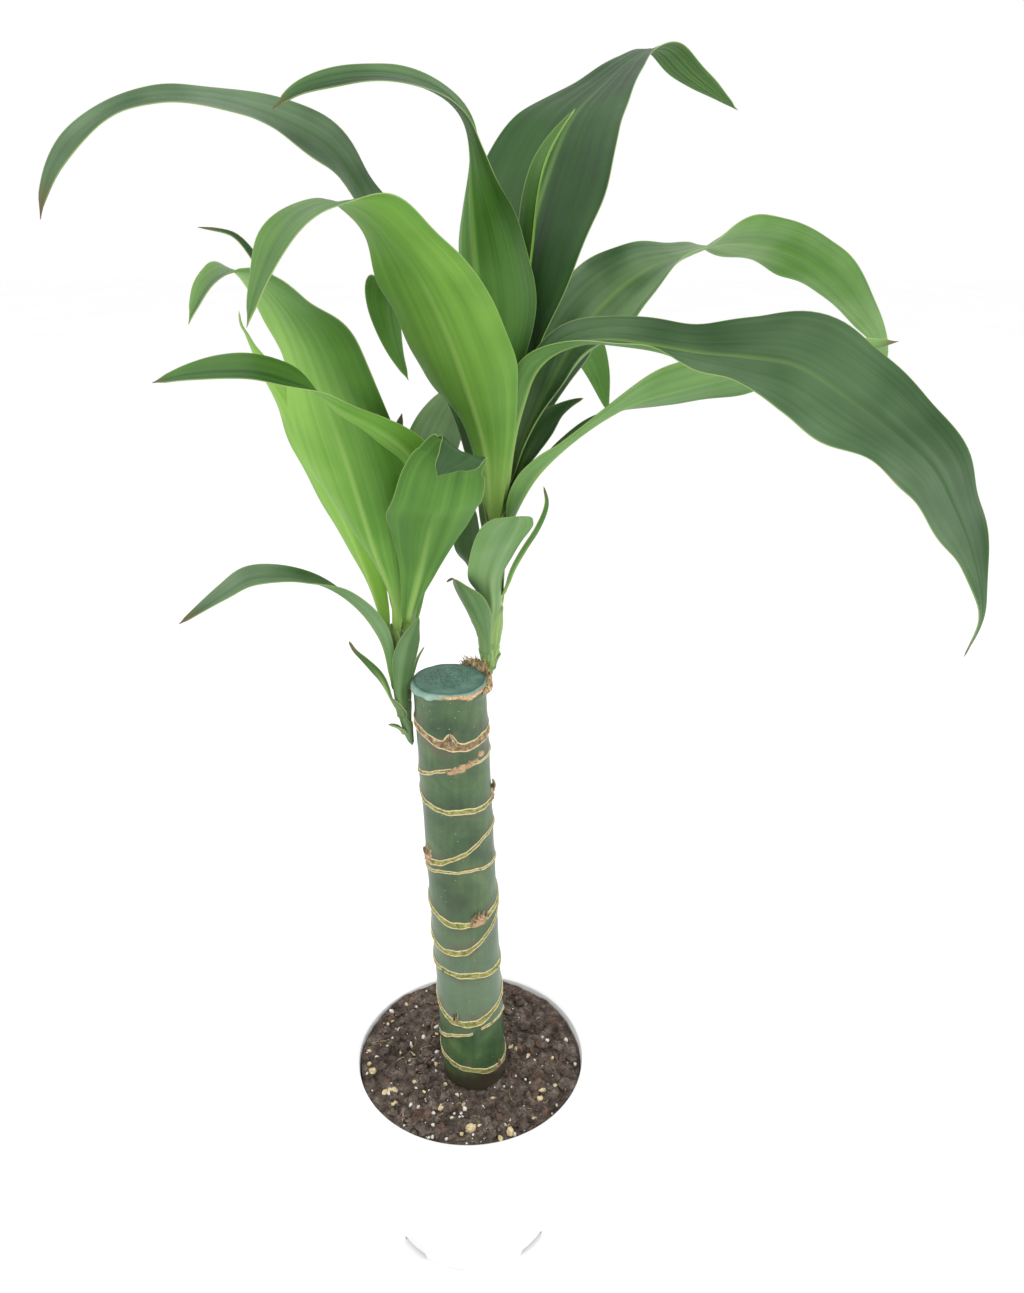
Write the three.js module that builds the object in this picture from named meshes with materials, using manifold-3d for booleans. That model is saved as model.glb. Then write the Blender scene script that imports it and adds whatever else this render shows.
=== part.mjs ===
// A corn plant in its nursery pot: a thick cane with two leafy shoots near its cut, waxed top.
// Millimetres, +Z up. The origin is the centre of the pot's underside, on the surface it stands on.
// The plant is seen from -Y: +X is to the right of that view.

import * as THREE from 'three';
import Module from 'manifold-3d';

const wasm = await Module();
wasm.setup();

// ---- driving dimensions ---------------------------------------------------------------------

const GAP = 0.3; // left between pieces that touch

const POT = {
  height: 106,
  baseRadius: 43.7,
  shoulderRadius: 58.5, // outside, just under the rim band
  rimRadius: 60,
  rimInnerRadius: 57,
  rimBand: 6,
  wall: 1.8,
  footHeight: 4,
  footWidth: 3.6,
  floor: 2,
  centreFootRadius: 12,
  notches: 4,
  notchHalfAngle: 11, // degrees
  drainRadius: 3.5,
  drainCircle: 33,
};

// The soil lies lowest at the cane and is banked up the wall, most at the back left.
const SOIL = { level: 100, bank: 2.4, slope: 1.1, relief: 1.5, rings: 9, holeFloor: 45 };

const CANE = {
  radius: 16.3,
  foot: [1.9, -3.3, 98], // the axis just under the soil's surface
  top: [-6.9, -4.1, 319.5], // the axis at the cut
  bottom: SOIL.holeFloor + GAP,
  scarHeight: 0.9,
  scarHalfWidth: 1.3,
  lipHeight: 0.7,
  lipDepth: 3,
};

// Leaf scars round the cane: mean height, tilt, and the direction in degrees that it rises towards.
const SCARS = [
  [115, 3.5, 140],
  [132, 8.7, 313],
  [152.6, 9.2, 83],
  [173.5, 2.1, 142],
  [199.5, 14.5, 58],
  [209.8, 7.3, 84],
  [228.8, 4.2, 290],
  [241.5, 8.5, 1],
  [267, 3.8, 117],
  [283.5, 4.9, 338],
  [301.5, 4.3, 117],
];

// Dried buds on the scars: direction in degrees, height, size.
const BUDS = [
  [268, 301, 3.4],
  [192, 237, 3.2],
  [296, 206.5, 3.8],
  [2, 268, 2.6],
  [244, 146, 2.4],
];

const WAX = { thickness: 1.8, radius: 15.6, rise: 0.5 };

// The torn bark runs between these directions round the cut, given in degrees. Its top, its foot
// and its thickness are (share of the way, value).
const HUSK = {
  from: -32,
  to: 74,
  tops: [[0, 318.8], [0.3, 320.3], [0.5, 321.8], [0.62, 323.4], [0.74, 324], [0.88, 322.6], [1, 321]],
  lows: [[0, 317], [0.3, 315.4], [0.55, 315], [0.8, 316.5], [1, 319]],
  thickness: [[0, 0.6], [0.4, 1.1], [0.62, 1.3], [0.76, 1.6], [1, 0.6]],
};

const LEAF = { thickness: 0.8, across: 4, midribDepth: 0.7, sheathLength: 24 };

// Shoot stems: points of the axis with the radius there.
const RIGHT_STEM = [
  [10.6, 9.0, 315, 1.4],
  [10.7, 9.0, 321, 2.6],
  [10.6, 8.9, 325, 3.8],
  [10.6, 8.6, 331, 4.6],
  [10.8, 8.4, 338, 5.0],
  [11.4, 8.0, 350, 5.4],
  [12.6, 7.2, 368, 5.2],
  [14.0, 6.2, 388, 4.6],
  [15.2, 5.2, 408, 3.4],
  [16.4, 4.6, 424, 1.6],
];

const LEFT_STEM = [
  [-24.0, 0.3, 287, 1.4],
  [-25.7, 0.4, 294, 2.4],
  [-26.7, 0.4, 302, 3.0],
  [-27.4, 0.3, 309, 3.7],
  [-27.6, 0.2, 317, 4.2],
  [-26.9, 0.0, 330, 4.5],
  [-25.0, -0.2, 346, 4.4],
  [-23.4, -0.4, 360, 3.4],
  [-22.4, -0.6, 372, 1.4],
];

// Leaves. heading: the way the leaf runs out, degrees from +X. foot: direction round the stem and
// height where it is joined. spine: the rest of the midrib. halfWidths, twist and channel are
// [share of length, value]: half the width, the turn about the midrib in degrees, and the angle
// in degrees through which half the blade is rolled up.
const RIGHT_LEAVES = [
  {
    name: 'right_leaf_front_broad',
    heading: 225,
    foot: [242, 389],
    spine: [[9, -6, 421], [1.5, -20, 450], [-9, -37, 479], [-19.5, -53, 499], [-29.5, -67, 510],
      [-41, -80, 510], [-50, -90, 503], [-56, -98, 491], [-60, -102, 479]],
    halfWidths: [[0, 3.5], [0.12, 9], [0.2, 14], [0.3, 20], [0.4, 20.5], [0.5, 19.5], [0.6, 16.5],
      [0.7, 13.5], [0.8, 10], [0.88, 8], [1, 0.5]],
    twist: [[0, 0], [0.15, 12], [0.35, 22], [0.55, 14], [0.7, 4], [0.8, 0], [1, 0]],
    channel: [[0, 50], [0.2, 50], [0.4, 28], [1, 10]],
    stations: 18,
  },
  {
    name: 'right_leaf_tall_back',
    heading: 50,
    foot: [60, 411],
    spine: [[21, 13, 437], [22.5, 17, 462], [26.5, 24, 489], [33.5, 39, 514], [45, 60, 538],
      [62, 82, 554], [78, 103, 567], [92, 119, 571], [108, 133, 562], [136, 152, 549]],
    halfWidths: [[0, 3], [0.12, 9], [0.25, 23], [0.38, 30], [0.5, 25], [0.6, 17.5], [0.7, 10.5],
      [0.8, 9.5], [0.88, 9], [1, 0.5]],
    twist: [[0, 5], [0.5, 5], [0.7, -5], [1, 0]],
    channel: [[0, 50], [0.1, 45], [0.25, 22], [0.5, 14], [1, 8]],
    stations: 18,
  },
  {
    name: 'right_leaf_folded_spear',
    heading: 60,
    foot: [100, 419],
    spine: [[20.5, 9.5, 445], [24, 12, 470], [27, 13.2, 493], [28.5, 14, 511], [31.5, 15.5, 523],
      [37, 19, 533], [44, 24, 542]],
    halfWidths: [[0, 2], [0.35, 5], [0.6, 5.8], [0.85, 4], [1, 0.5]],
    twist: [[0, -20], [1, -20]],
    channel: [[0, 60], [0.3, 85], [0.8, 65], [1, 40]],
    stations: 12,
  },
  {
    name: 'right_leaf_centre_arched',
    heading: 200,
    foot: [255, 407],
    spine: [[12, -1, 440], [8, 2, 473], [6, 4, 492], [5, 3, 511], [5, 0, 527], [3, -4, 536],
      [-2, -10, 542], [-10, -17, 546], [-21, -26, 548], [-35, -35, 547], [-48, -44, 543],
      [-56, -50, 537]],
    halfWidths: [[0, 3.5], [0.12, 6], [0.22, 15], [0.31, 23], [0.4, 22], [0.5, 15], [0.6, 9],
      [0.72, 8.5], [0.88, 5], [1, 0.5]],
    twist: [[0, 25], [0.42, 30], [0.6, -20], [0.75, -22], [1, -50]],
    channel: [[0, 55], [0.2, 75], [0.3, 85], [0.45, 80], [0.65, 25], [1, 10]],
    stations: 18,
  },
  {
    name: 'right_leaf_back_arched',
    heading: 22,
    foot: [30, 402],
    spine: [[25, 7, 422], [34.5, 11, 441], [45, 16, 459], [59, 22, 474], [75.5, 28, 485.5],
      [92, 35, 491], [106, 40, 495], [123, 48, 494], [143, 56, 489], [162, 64, 479],
      [177, 70, 466], [190, 75, 453], [198, 78, 439]],
    halfWidths: [[0, 3], [0.12, 6.5], [0.25, 18.5], [0.36, 18], [0.47, 15.5], [0.58, 16],
      [0.7, 14], [0.83, 10.5], [0.93, 5], [1, 0.5]],
    twist: [[0, 0], [0.2, 25], [0.33, 35], [0.45, 5], [0.55, -20], [0.65, -38], [1, -20]],
    channel: [[0, 50], [0.2, 60], [0.5, 25], [1, 10]],
    stations: 20,
  },
  {
    name: 'right_leaf_front_long',
    heading: 338,
    foot: [305, 398],
    spine: [[20, -4, 424], [23, -6, 438], [28, -8, 452], [37, -12, 460], [52, -17, 464],
      [68, -22, 463.5], [86, -28, 461.5], [102, -34, 460.5], [118, -40, 458], [134, -47, 449],
      [151, -54, 437.5], [164, -59, 426], [172.5, -63, 411], [179, -65, 399], [185, -67, 384],
      [187, -68, 372], [184, -67, 357]],
    halfWidths: [[0, 3.2], [0.1, 6], [0.2, 11], [0.29, 15.5], [0.4, 13], [0.5, 23], [0.6, 24],
      [0.72, 16.5], [0.8, 15], [0.86, 9], [0.92, 3], [1, 0.5]],
    twist: [[0, 0], [0.15, 0], [0.28, 12], [0.4, 20], [0.52, 34], [0.7, 40], [1, 30]],
    channel: [[0, 55], [0.15, 70], [0.3, 40], [0.5, 18], [1, 10]],
    stations: 24,
  },
  {
    name: 'right_leaf_low_straight',
    heading: 12,
    foot: [355, 388],
    spine: [[28, 3.5, 406], [40, 7, 418], [56, 10.5, 429], [72, 15, 436], [93, 19, 441],
      [115, 24, 445], [150, 31, 452], [185, 38, 456]],
    halfWidths: [[0, 4.5], [0.05, 8], [0.1, 8.6], [0.15, 7.4], [0.2, 6.4], [0.28, 8], [0.5, 14],
      [0.7, 13], [0.87, 6], [1, 0.5]],
    twist: [[0, 0], [0.05, -30], [0.1, -42], [0.15, -32], [0.2, -14], [0.3, -20], [0.45, -50],
      [1, -60]],
    channel: [[0, 55], [0.12, 50], [0.2, 55], [0.32, 40], [0.5, 20], [1, 15]],
    stations: 20,
  },
  {
    name: 'right_leaf_back_drooping',
    heading: 70,
    foot: [92, 396],
    spine: [[29, 26, 428], [42, 40, 446], [51, 52, 453], [60, 62, 440], [67, 68, 421]],
    halfWidths: [[0, 2.8], [0.15, 4], [0.35, 9], [0.6, 11], [0.8, 7], [1, 0.5]],
    twist: [[0, 0], [1, 0]],
    channel: [[0, 50], [0.3, 40], [1, 15]],
    stations: 12,
  },
  {
    name: 'right_leaf_small_curled',
    heading: 25,
    foot: [16, 395],
    spine: [[24.5, 9.5, 411], [30.5, 13, 421.5], [37, 16, 429.5], [44, 18.5, 434], [50, 21, 436]],
    halfWidths: [[0, 2.8], [0.15, 4], [0.35, 6.5], [0.6, 6.8], [0.8, 3.2], [1, 0.5]],
    twist: [[0, 0], [0.5, 30], [1, 30]],
    channel: [[0, 50], [0.3, 50], [1, 20]],
    stations: 10,
  },
  {
    name: 'right_leaf_rear',
    heading: 125,
    foot: [125, 388],
    spine: [[5, 19, 415], [-4, 34, 441], [-17, 53, 463], [-26, 68, 474], [-32, 77, 476],
      [-33, 76, 465], [-29, 69, 449], [-23, 59, 437]],
    halfWidths: [[0, 4.5], [0.25, 9], [0.5, 11], [0.7, 10], [0.85, 6], [1, 0.5]],
    twist: [[0, 0], [1, 10]],
    channel: [[0, 50], [0.3, 40], [1, 15]],
    stations: 14,
  },
  {
    name: 'right_leaf_far_left',
    heading: 195,
    foot: [162, 393],
    spine: [[6, 7.5, 427], [-5, 4, 458], [-19, 0.5, 489], [-33, -4.5, 511], [-43, -8, 526],
      [-56, -12, 534], [-73, -16, 540], [-87, -20, 542], [-99, -23, 541.5], [-111, -26, 538],
      [-123, -29, 530], [-130, -31, 522], [-135, -33, 512], [-137, -33, 505]],
    halfWidths: [[0, 3.2], [0.1, 6], [0.25, 9.5], [0.4, 11], [0.5, 10.5], [0.58, 12.5], [0.68, 11],
      [0.78, 6.5], [0.9, 4.5], [1, 0.5]],
    twist: [[0, -10], [0.35, -40], [0.5, -36], [0.6, -34], [0.7, -24], [0.8, -25], [1, -60]],
    channel: [[0, 50], [0.2, 50], [0.5, 20], [1, 10]],
    stations: 20,
  },
  {
    name: 'right_leaf_short_ragged',
    heading: 300,
    foot: [270, 353],
    spine: [[11, -5, 368], [15, -9, 382], [21.5, -15, 397]],
    halfWidths: [[0, 4.5], [0.3, 9], [0.6, 12.4], [0.85, 12], [1, 8]],
    twist: [[0, 0], [1, 0]],
    channel: [[0, 50], [0.3, 35], [1, 15]],
    stations: 8,
  },
  {
    name: 'right_leaf_thin_hook',
    heading: 340,
    foot: [345, 356],
    spine: [[20.5, 2, 368], [25.5, 1, 378], [31, -1, 388], [34.3, -2, 398], [32.5, -2, 405.5]],
    halfWidths: [[0, 2.5], [0.4, 3], [0.8, 2.4], [1, 0.5]],
    twist: [[0, 0], [1, 0]],
    channel: [[0, 28], [0.2, 50], [1, 45]],
    stations: 10,
  },
  {
    name: 'right_leaf_low_curled',
    heading: 220,
    foot: [235, 337],
    spine: [[3.8, -2, 350], [0.6, -5.5, 359], [-1.9, -8, 366], [-4.5, -11, 370], [-7, -13, 369]],
    halfWidths: [[0, 4], [0.25, 7.4], [0.5, 9.8], [0.68, 9.2], [0.8, 3.6], [0.88, 1.5], [1, 0.5]],
    twist: [[0, 0], [1, 0]],
    channel: [[0, 45], [0.3, 45], [1, 20]],
    stations: 12,
  },
  {
    name: 'right_leaf_narrow_rear',
    heading: 200,
    foot: [190, 355],
    spine: [[4, 7, 366], [1.8, 7, 376], [1.4, 7.2, 386], [3.4, 7.8, 397]],
    halfWidths: [[0, 3.5], [0.25, 5.5], [0.6, 6.2], [0.85, 4.2], [1, 0.5]],
    twist: [[0, 0], [0.25, 25], [0.5, 48], [1, 50]],
    channel: [[0, 35], [0.4, 20], [1, 10]],
    stations: 8,
  },
];

const LEFT_LEAVES = [
  {
    name: 'left_leaf_broad',
    heading: 222,
    foot: [218, 340],
    spine: [[-29, -7, 359], [-34.5, -14, 383], [-39, -21, 404], [-44.5, -32, 433],
      [-51.5, -46, 467], [-59.5, -60, 484.5], [-66, -70, 491], [-70.5, -76, 492], [-75, -80, 489],
      [-78, -84, 483], [-80, -86, 478]],
    halfWidths: [[0, 2.8], [0.08, 4.5], [0.15, 9.5], [0.22, 15], [0.3, 19.5], [0.45, 20.5],
      [0.58, 20.5], [0.7, 20], [0.82, 14.5], [0.9, 8.5], [1, 0.5]],
    twist: [[0, 0], [0.15, 8], [0.4, 35], [0.6, 15], [0.8, 0], [1, 0]],
    channel: [[0, 55], [0.2, 65], [0.5, 30], [1, 10]],
    stations: 18,
  },
  {
    name: 'left_leaf_broad_under',
    heading: 213,
    foot: [180, 331],
    spine: [[-38.5, 1, 365], [-52, 0, 403], [-61.5, -5, 430], [-69, -11, 448], [-74, -20, 462],
      [-75, -26, 468], [-76, -29, 471], [-76, -30, 476]],
    halfWidths: [[0, 2.8], [0.2, 6], [0.45, 14], [0.65, 13], [0.8, 7], [0.9, 2], [1, 0.5]],
    twist: [[0, 0], [0.3, 25], [0.6, 20], [1, 0]],
    channel: [[0, 55], [0.2, 55], [0.5, 30], [1, 10]],
    stations: 14,
  },
  {
    name: 'left_leaf_crossing',
    heading: 192,
    foot: [285, 353],
    spine: [[-15.5, -13, 384], [-13, -29, 411], [-18, -38, 427], [-29, -45, 438], [-40, -52, 446],
      [-49, -57, 454], [-56, -59, 458], [-66, -59, 461], [-77, -57, 461], [-90, -54, 459],
      [-103, -50, 455]],
    halfWidths: [[0, 2.5], [0.2, 6.5], [0.4, 8], [0.5, 7], [0.6, 4.5], [0.68, 5], [0.75, 6.5],
      [0.88, 5], [1, 0.5]],
    twist: [[0, 60], [0.45, 50], [0.6, 45], [0.66, 20], [0.72, -20], [0.8, -30], [1, -40]],
    channel: [[0, 50], [0.3, 50], [0.6, 20], [1, 10]],
    stations: 18,
  },
  {
    name: 'left_leaf_front_cupped',
    heading: 276,
    foot: [290, 347],
    spine: [[-22, -13.5, 357], [-17.5, -21.5, 376], [-12.5, -33, 398], [-9, -45, 410],
      [-6, -51, 423], [-3.5, -53, 428.5], [-1, -55.5, 432.5], [-0.5, -59, 433.5], [-3, -60, 431],
      [-6, -59, 428], [-9, -57.5, 424]],
    halfWidths: [[0, 2.6], [0.12, 4], [0.2, 6.2], [0.3, 9.2], [0.4, 13.6], [0.52, 16.8],
      [0.66, 16.2], [0.76, 14.8], [0.83, 11.6], [0.88, 9.3], [0.94, 5.2], [1, 0.5]],
    twist: [[0, 0], [0.6, 0], [0.8, 0], [0.87, -28], [0.92, -6], [1, 0]],
    channel: [[0, 55], [0.2, 55], [0.5, 30], [0.75, 14], [1, 6]],
    stations: 56,
  },
  {
    name: 'left_leaf_low_thin',
    heading: 197,
    foot: [205, 322],
    spine: [[-33.6, -5.6, 338], [-37.5, -8.8, 349.5], [-43.5, -11.5, 359], [-52, -14, 367],
      [-62, -16, 372], [-72, -19, 375], [-84, -21, 375], [-93, -23, 370], [-103, -26, 364],
      [-111, -29, 359]],
    halfWidths: [[0, 2.6], [0.12, 4.2], [0.25, 6.2], [0.38, 5.6], [0.5, 4.6], [0.75, 5], [1, 0.5]],
    twist: [[0, 20], [0.4, 20], [0.55, -20], [1, -40]],
    channel: [[0, 45], [0.3, 45], [1, 15]],
    stations: 16,
  },
  {
    name: 'left_leaf_sheath',
    heading: 280,
    foot: [270, 312],
    spine: [[-26.9, -6.9, 322], [-25, -9.4, 333.5], [-22.2, -11.4, 343.5], [-18.6, -11.8, 353.5]],
    halfWidths: [[0, 3], [0.2, 3.8], [0.5, 5.4], [0.75, 4.2], [0.9, 1.8], [1, 0.5]],
    twist: [[0, 0], [1, 0]],
    channel: [[0, 60], [0.3, 50], [0.6, 40], [1, 20]],
    stations: 10,
  },
  {
    name: 'left_leaf_whisker',
    heading: 200,
    foot: [195, 306],
    spine: [[-36, -4, 322], [-42, -7, 332], [-46, -8, 337], [-48, -9, 342]],
    halfWidths: [[0, 2.2], [0.5, 2.2], [1, 0.5]],
    twist: [[0, 0], [0.3, 50], [1, 60]],
    channel: [[0, 30], [1, 30]],
    stations: 8,
  },
  {
    name: 'left_leaf_small_back',
    heading: 350,
    foot: [352, 345],
    spine: [[-17.5, 1, 357], [-14, 2, 367]],
    halfWidths: [[0, 2.5], [0.5, 3.5], [1, 0.5]],
    twist: [[0, 0], [1, 0]],
    channel: [[0, 35], [1, 20]],
    stations: 6,
  },
  {
    name: 'left_leaf_dark_tip',
    heading: 100,
    foot: [115, 352],
    spine: [[-25, 8, 375], [-25, 12, 397], [-26, 15, 421], [-24, 17, 431]],
    halfWidths: [[0, 3], [0.5, 6], [0.8, 4], [1, 0.5]],
    twist: [[0, 0], [1, 0]],
    channel: [[0, 50], [0.5, 40], [1, 20]],
    stations: 10,
  },
  {
    name: 'left_leaf_rear_long',
    heading: 170,
    foot: [150, 347],
    spine: [[-34, 11, 378], [-40, 13, 403], [-55, 12, 446], [-68, 11, 476], [-77, 12, 491],
      [-83, 13, 498], [-89, 13, 500], [-97, 14, 501]],
    halfWidths: [[0, 3], [0.1, 3.5], [0.3, 8], [0.6, 7], [0.8, 2.5], [1, 0.5]],
    twist: [[0, -20], [1, -40]],
    channel: [[0, 50], [0.3, 40], [1, 10]],
    stations: 14,
  },
  {
    name: 'left_leaf_rear_right',
    heading: 75,
    foot: [70, 346],
    spine: [[-20, 14, 378], [-16.5, 23, 400], [-11, 35, 417], [-3, 50, 430], [8, 68, 436]],
    halfWidths: [[0, 3], [0.15, 5], [0.3, 8.5], [0.6, 12], [0.8, 9], [1, 0.5]],
    twist: [[0, 0], [1, 0]],
    channel: [[0, 50], [0.3, 40], [1, 15]],
    stations: 14,
  },
];

// Small dry bracts on a stem, fused with it: direction, height, length, width.
const RIGHT_BRACTS = [
  [195, 338, 8.5, 4],
  [340, 322, 8, 4],
  [325, 336, 17, 8],
  [235, 326, 9, 6],
];

const LEFT_BRACTS = [
  [195, 295, 9, 3.5],
  [345, 322, 15, 2.6],
  [215, 303, 10, 5],
];

// ---- materials ------------------------------------------------------------------------------

const materials = {
  pot: new THREE.MeshStandardMaterial({ color: 0xf4f4f1, roughness: 0.35, metalness: 0 }),
  soil: new THREE.MeshStandardMaterial({ color: 0x3a2a20, roughness: 0.95, metalness: 0 }),
  cane: new THREE.MeshStandardMaterial({ color: 0x4a6b4a, roughness: 0.55, metalness: 0 }),
  wax: new THREE.MeshStandardMaterial({ color: 0x2f6660, roughness: 0.5, metalness: 0 }),
  husk: new THREE.MeshStandardMaterial({ color: 0x9a7650, roughness: 0.9, metalness: 0 }),
  stem: new THREE.MeshStandardMaterial({ color: 0x86ab55, roughness: 0.5, metalness: 0 }),
  leaf: new THREE.MeshStandardMaterial({ color: 0x4f8a35, roughness: 0.42, metalness: 0 }),
};

// ---- helpers --------------------------------------------------------------------------------

const radians = THREE.MathUtils.degToRad;

function meshGeometry(points, triangles) {
  const geometry = new THREE.BufferGeometry();
  const flat = points.flatMap((p) => [p.x, p.y, p.z]);
  geometry.setAttribute('position', new THREE.Float32BufferAttribute(flat, 3));
  geometry.setIndex(triangles.flat());
  geometry.computeVertexNormals();
  return geometry;
}

// A closed skin through rings of points. Each ring runs counter-clockwise seen from above; a ring
// of one point is a pole. With loop set, the last ring joins the first, as on a torus.
function skin(rings, loop = false) {
  const points = rings.flat();
  const starts = [];
  let count = 0;
  for (const ring of rings) {
    starts.push(count);
    count += ring.length;
  }
  const triangles = [];
  const steps = loop ? rings.length : rings.length - 1;
  for (let i = 0; i < steps; i++) {
    const next = (i + 1) % rings.length;
    const sides = Math.max(rings[i].length, rings[next].length);
    for (let j = 0; j < sides; j++) {
      const k = (j + 1) % sides;
      const lower = (n) => starts[i] + (rings[i].length === 1 ? 0 : n);
      const upper = (n) => starts[next] + (rings[next].length === 1 ? 0 : n);
      if (rings[i].length > 1) triangles.push([lower(j), lower(k), upper(k)]);
      if (rings[next].length > 1) triangles.push([lower(j), upper(k), upper(j)]);
    }
  }
  return meshGeometry(points, triangles);
}

function circle(centre, radius, sides, lift = () => 0) {
  const ring = [];
  for (let j = 0; j < sides; j++) {
    const angle = (2 * Math.PI * j) / sides;
    const r = typeof radius === 'function' ? radius(angle) : radius;
    ring.push(new THREE.Vector3(
      centre.x + r * Math.cos(angle), centre.y + r * Math.sin(angle), centre.z + lift(angle)));
  }
  return ring;
}

function toManifold(geometry) {
  return new wasm.Manifold(new wasm.Mesh({
    numProp: 3,
    vertProperties: new Float32Array(geometry.attributes.position.array),
    triVerts: new Uint32Array(geometry.index.array),
  }));
}

function fromManifold(solid) {
  const mesh = solid.getMesh();
  const geometry = new THREE.BufferGeometry();
  geometry.setAttribute('position', new THREE.Float32BufferAttribute(mesh.vertProperties, 3));
  geometry.setIndex(Array.from(mesh.triVerts));
  geometry.computeVertexNormals();
  return geometry;
}

// A value between [place, value] keys, on a cubic whose slopes come from the neighbouring keys.
function between(keys, s) {
  const last = keys.length - 1;
  let i = 0;
  while (i < last - 1 && s > keys[i + 1][0]) i++;
  const slope = (k) => {
    const a = keys[Math.max(k - 1, 0)];
    const b = keys[Math.min(k + 1, last)];
    return (b[1] - a[1]) / (b[0] - a[0]);
  };
  const h = keys[i + 1][0] - keys[i][0];
  const f = (s - keys[i][0]) / h;
  const f2 = f * f;
  const f3 = f2 * f;
  return (2 * f3 - 3 * f2 + 1) * keys[i][1] + (f3 - 2 * f2 + f) * h * slope(i)
    + (3 * f2 - 2 * f3) * keys[i + 1][1] + (f3 - f2) * h * slope(i + 1);
}

// ---- pot and soil ---------------------------------------------------------------------------

const POT_SIDES = 48;

function potOutside(z) {
  return POT.baseRadius + ((POT.shoulderRadius - POT.baseRadius) * z) / (POT.height - POT.rimBand);
}

function makePot() {
  const band = POT.height - POT.rimBand;
  const floorTop = POT.footHeight + POT.floor;
  const profile = [
    [POT.centreFootRadius, 0],
    [POT.centreFootRadius, POT.footHeight],
    [POT.baseRadius - POT.footWidth, POT.footHeight],
    [POT.baseRadius - POT.footWidth, 0],
    [POT.baseRadius, 0],
    [potOutside(band), band],
    [POT.rimRadius, band + 1],
    [POT.rimRadius, POT.height - 1],
    [POT.rimRadius - 1, POT.height],
    [POT.rimInnerRadius + 0.6, POT.height],
    [POT.rimInnerRadius, POT.height - 0.6],
    [potOutside(band) - POT.wall, band - 1],
    [potOutside(floorTop) - POT.wall, floorTop],
  ];
  const rings = [[new THREE.Vector3(0, 0, 0)]];
  for (const [r, z] of profile) rings.push(circle(new THREE.Vector3(0, 0, z), r, POT_SIDES));
  rings.push([new THREE.Vector3(0, 0, floorTop)]);
  let pot = toManifold(skin(rings));
  for (let i = 0; i < POT.notches; i++) {
    const direction = (2 * Math.PI * (i + 0.5)) / POT.notches;
    pot = pot.subtract(toManifold(footNotch(direction)));
    pot = pot.subtract(toManifold(drainHole(direction)));
  }
  return fromManifold(pot);
}

// An arched block across the foot ring, to be cut away.
function footNotch(direction) {
  const halfWidth = POT.baseRadius * Math.sin(radians(POT.notchHalfAngle));
  const arch = new THREE.Shape();
  arch.moveTo(-halfWidth, -1);
  arch.lineTo(halfWidth, -1);
  arch.lineTo(halfWidth - 1.2, POT.footHeight - 0.2);
  arch.lineTo(-halfWidth + 1.2, POT.footHeight - 0.2);
  arch.closePath();
  const block = new THREE.ExtrudeGeometry(arch, { depth: 14, bevelEnabled: false });
  block.rotateX(Math.PI / 2);
  block.translate(0, POT.baseRadius - POT.footWidth - 4 + 14, 0);
  block.rotateZ(direction - Math.PI / 2);
  return mergeCorners(block);
}

function drainHole(direction) {
  const x = POT.drainCircle * Math.cos(direction);
  const y = POT.drainCircle * Math.sin(direction);
  const below = new THREE.Vector3(x, y, POT.footHeight - 1);
  const above = new THREE.Vector3(x, y, POT.footHeight + POT.floor + 1);
  return skin([[below], circle(below, POT.drainRadius, 12), circle(above, POT.drainRadius, 12),
    [above]]);
}

// Shared corners of a stock three.js shape, merged so that it is one closed body.
function mergeCorners(geometry) {
  const loose = geometry.index ? geometry.toNonIndexed() : geometry;
  const position = loose.attributes.position;
  const seen = new Map();
  const points = [];
  const index = [];
  for (let i = 0; i < position.count; i++) {
    const p = new THREE.Vector3().fromBufferAttribute(position, i);
    const key = [p.x, p.y, p.z].map((v) => Math.round(v * 1e4)).join();
    if (!seen.has(key)) {
      seen.set(key, points.length);
      points.push(p);
    }
    index.push(seen.get(key));
  }
  const triangles = [];
  for (let i = 0; i < index.length; i += 3) triangles.push(index.slice(i, i + 3));
  return meshGeometry(points, triangles);
}

const caneFoot = new THREE.Vector3(...CANE.foot);
const caneTop = new THREE.Vector3(...CANE.top);

function caneAxis(z) {
  const share = (z - caneFoot.z) / (caneTop.z - caneFoot.z);
  return caneFoot.clone().lerp(caneTop, share);
}

// Crumbled soil: low mounds with finer clods on them.
function soilHeight(x, y) {
  const bank = SOIL.bank * ((x * x + y * y) / POT.rimInnerRadius ** 2);
  const slope = (SOIL.slope * (y - x)) / POT.rimInnerRadius;
  const mounds = Math.sin(x * 0.11 + 0.7) * Math.cos(y * 0.13 - 0.4);
  const clods = Math.sin(x * 0.47 + y * 0.21) * Math.sin(y * 0.53 - x * 0.17 + 1.1);
  const crumbs = Math.sin(x * 1.3 - y * 0.9) * Math.sin(y * 1.7 + x * 0.6);
  return SOIL.level + bank + slope + SOIL.relief * (0.4 * mounds + 0.4 * clods + 0.2 * crumbs);
}

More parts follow.
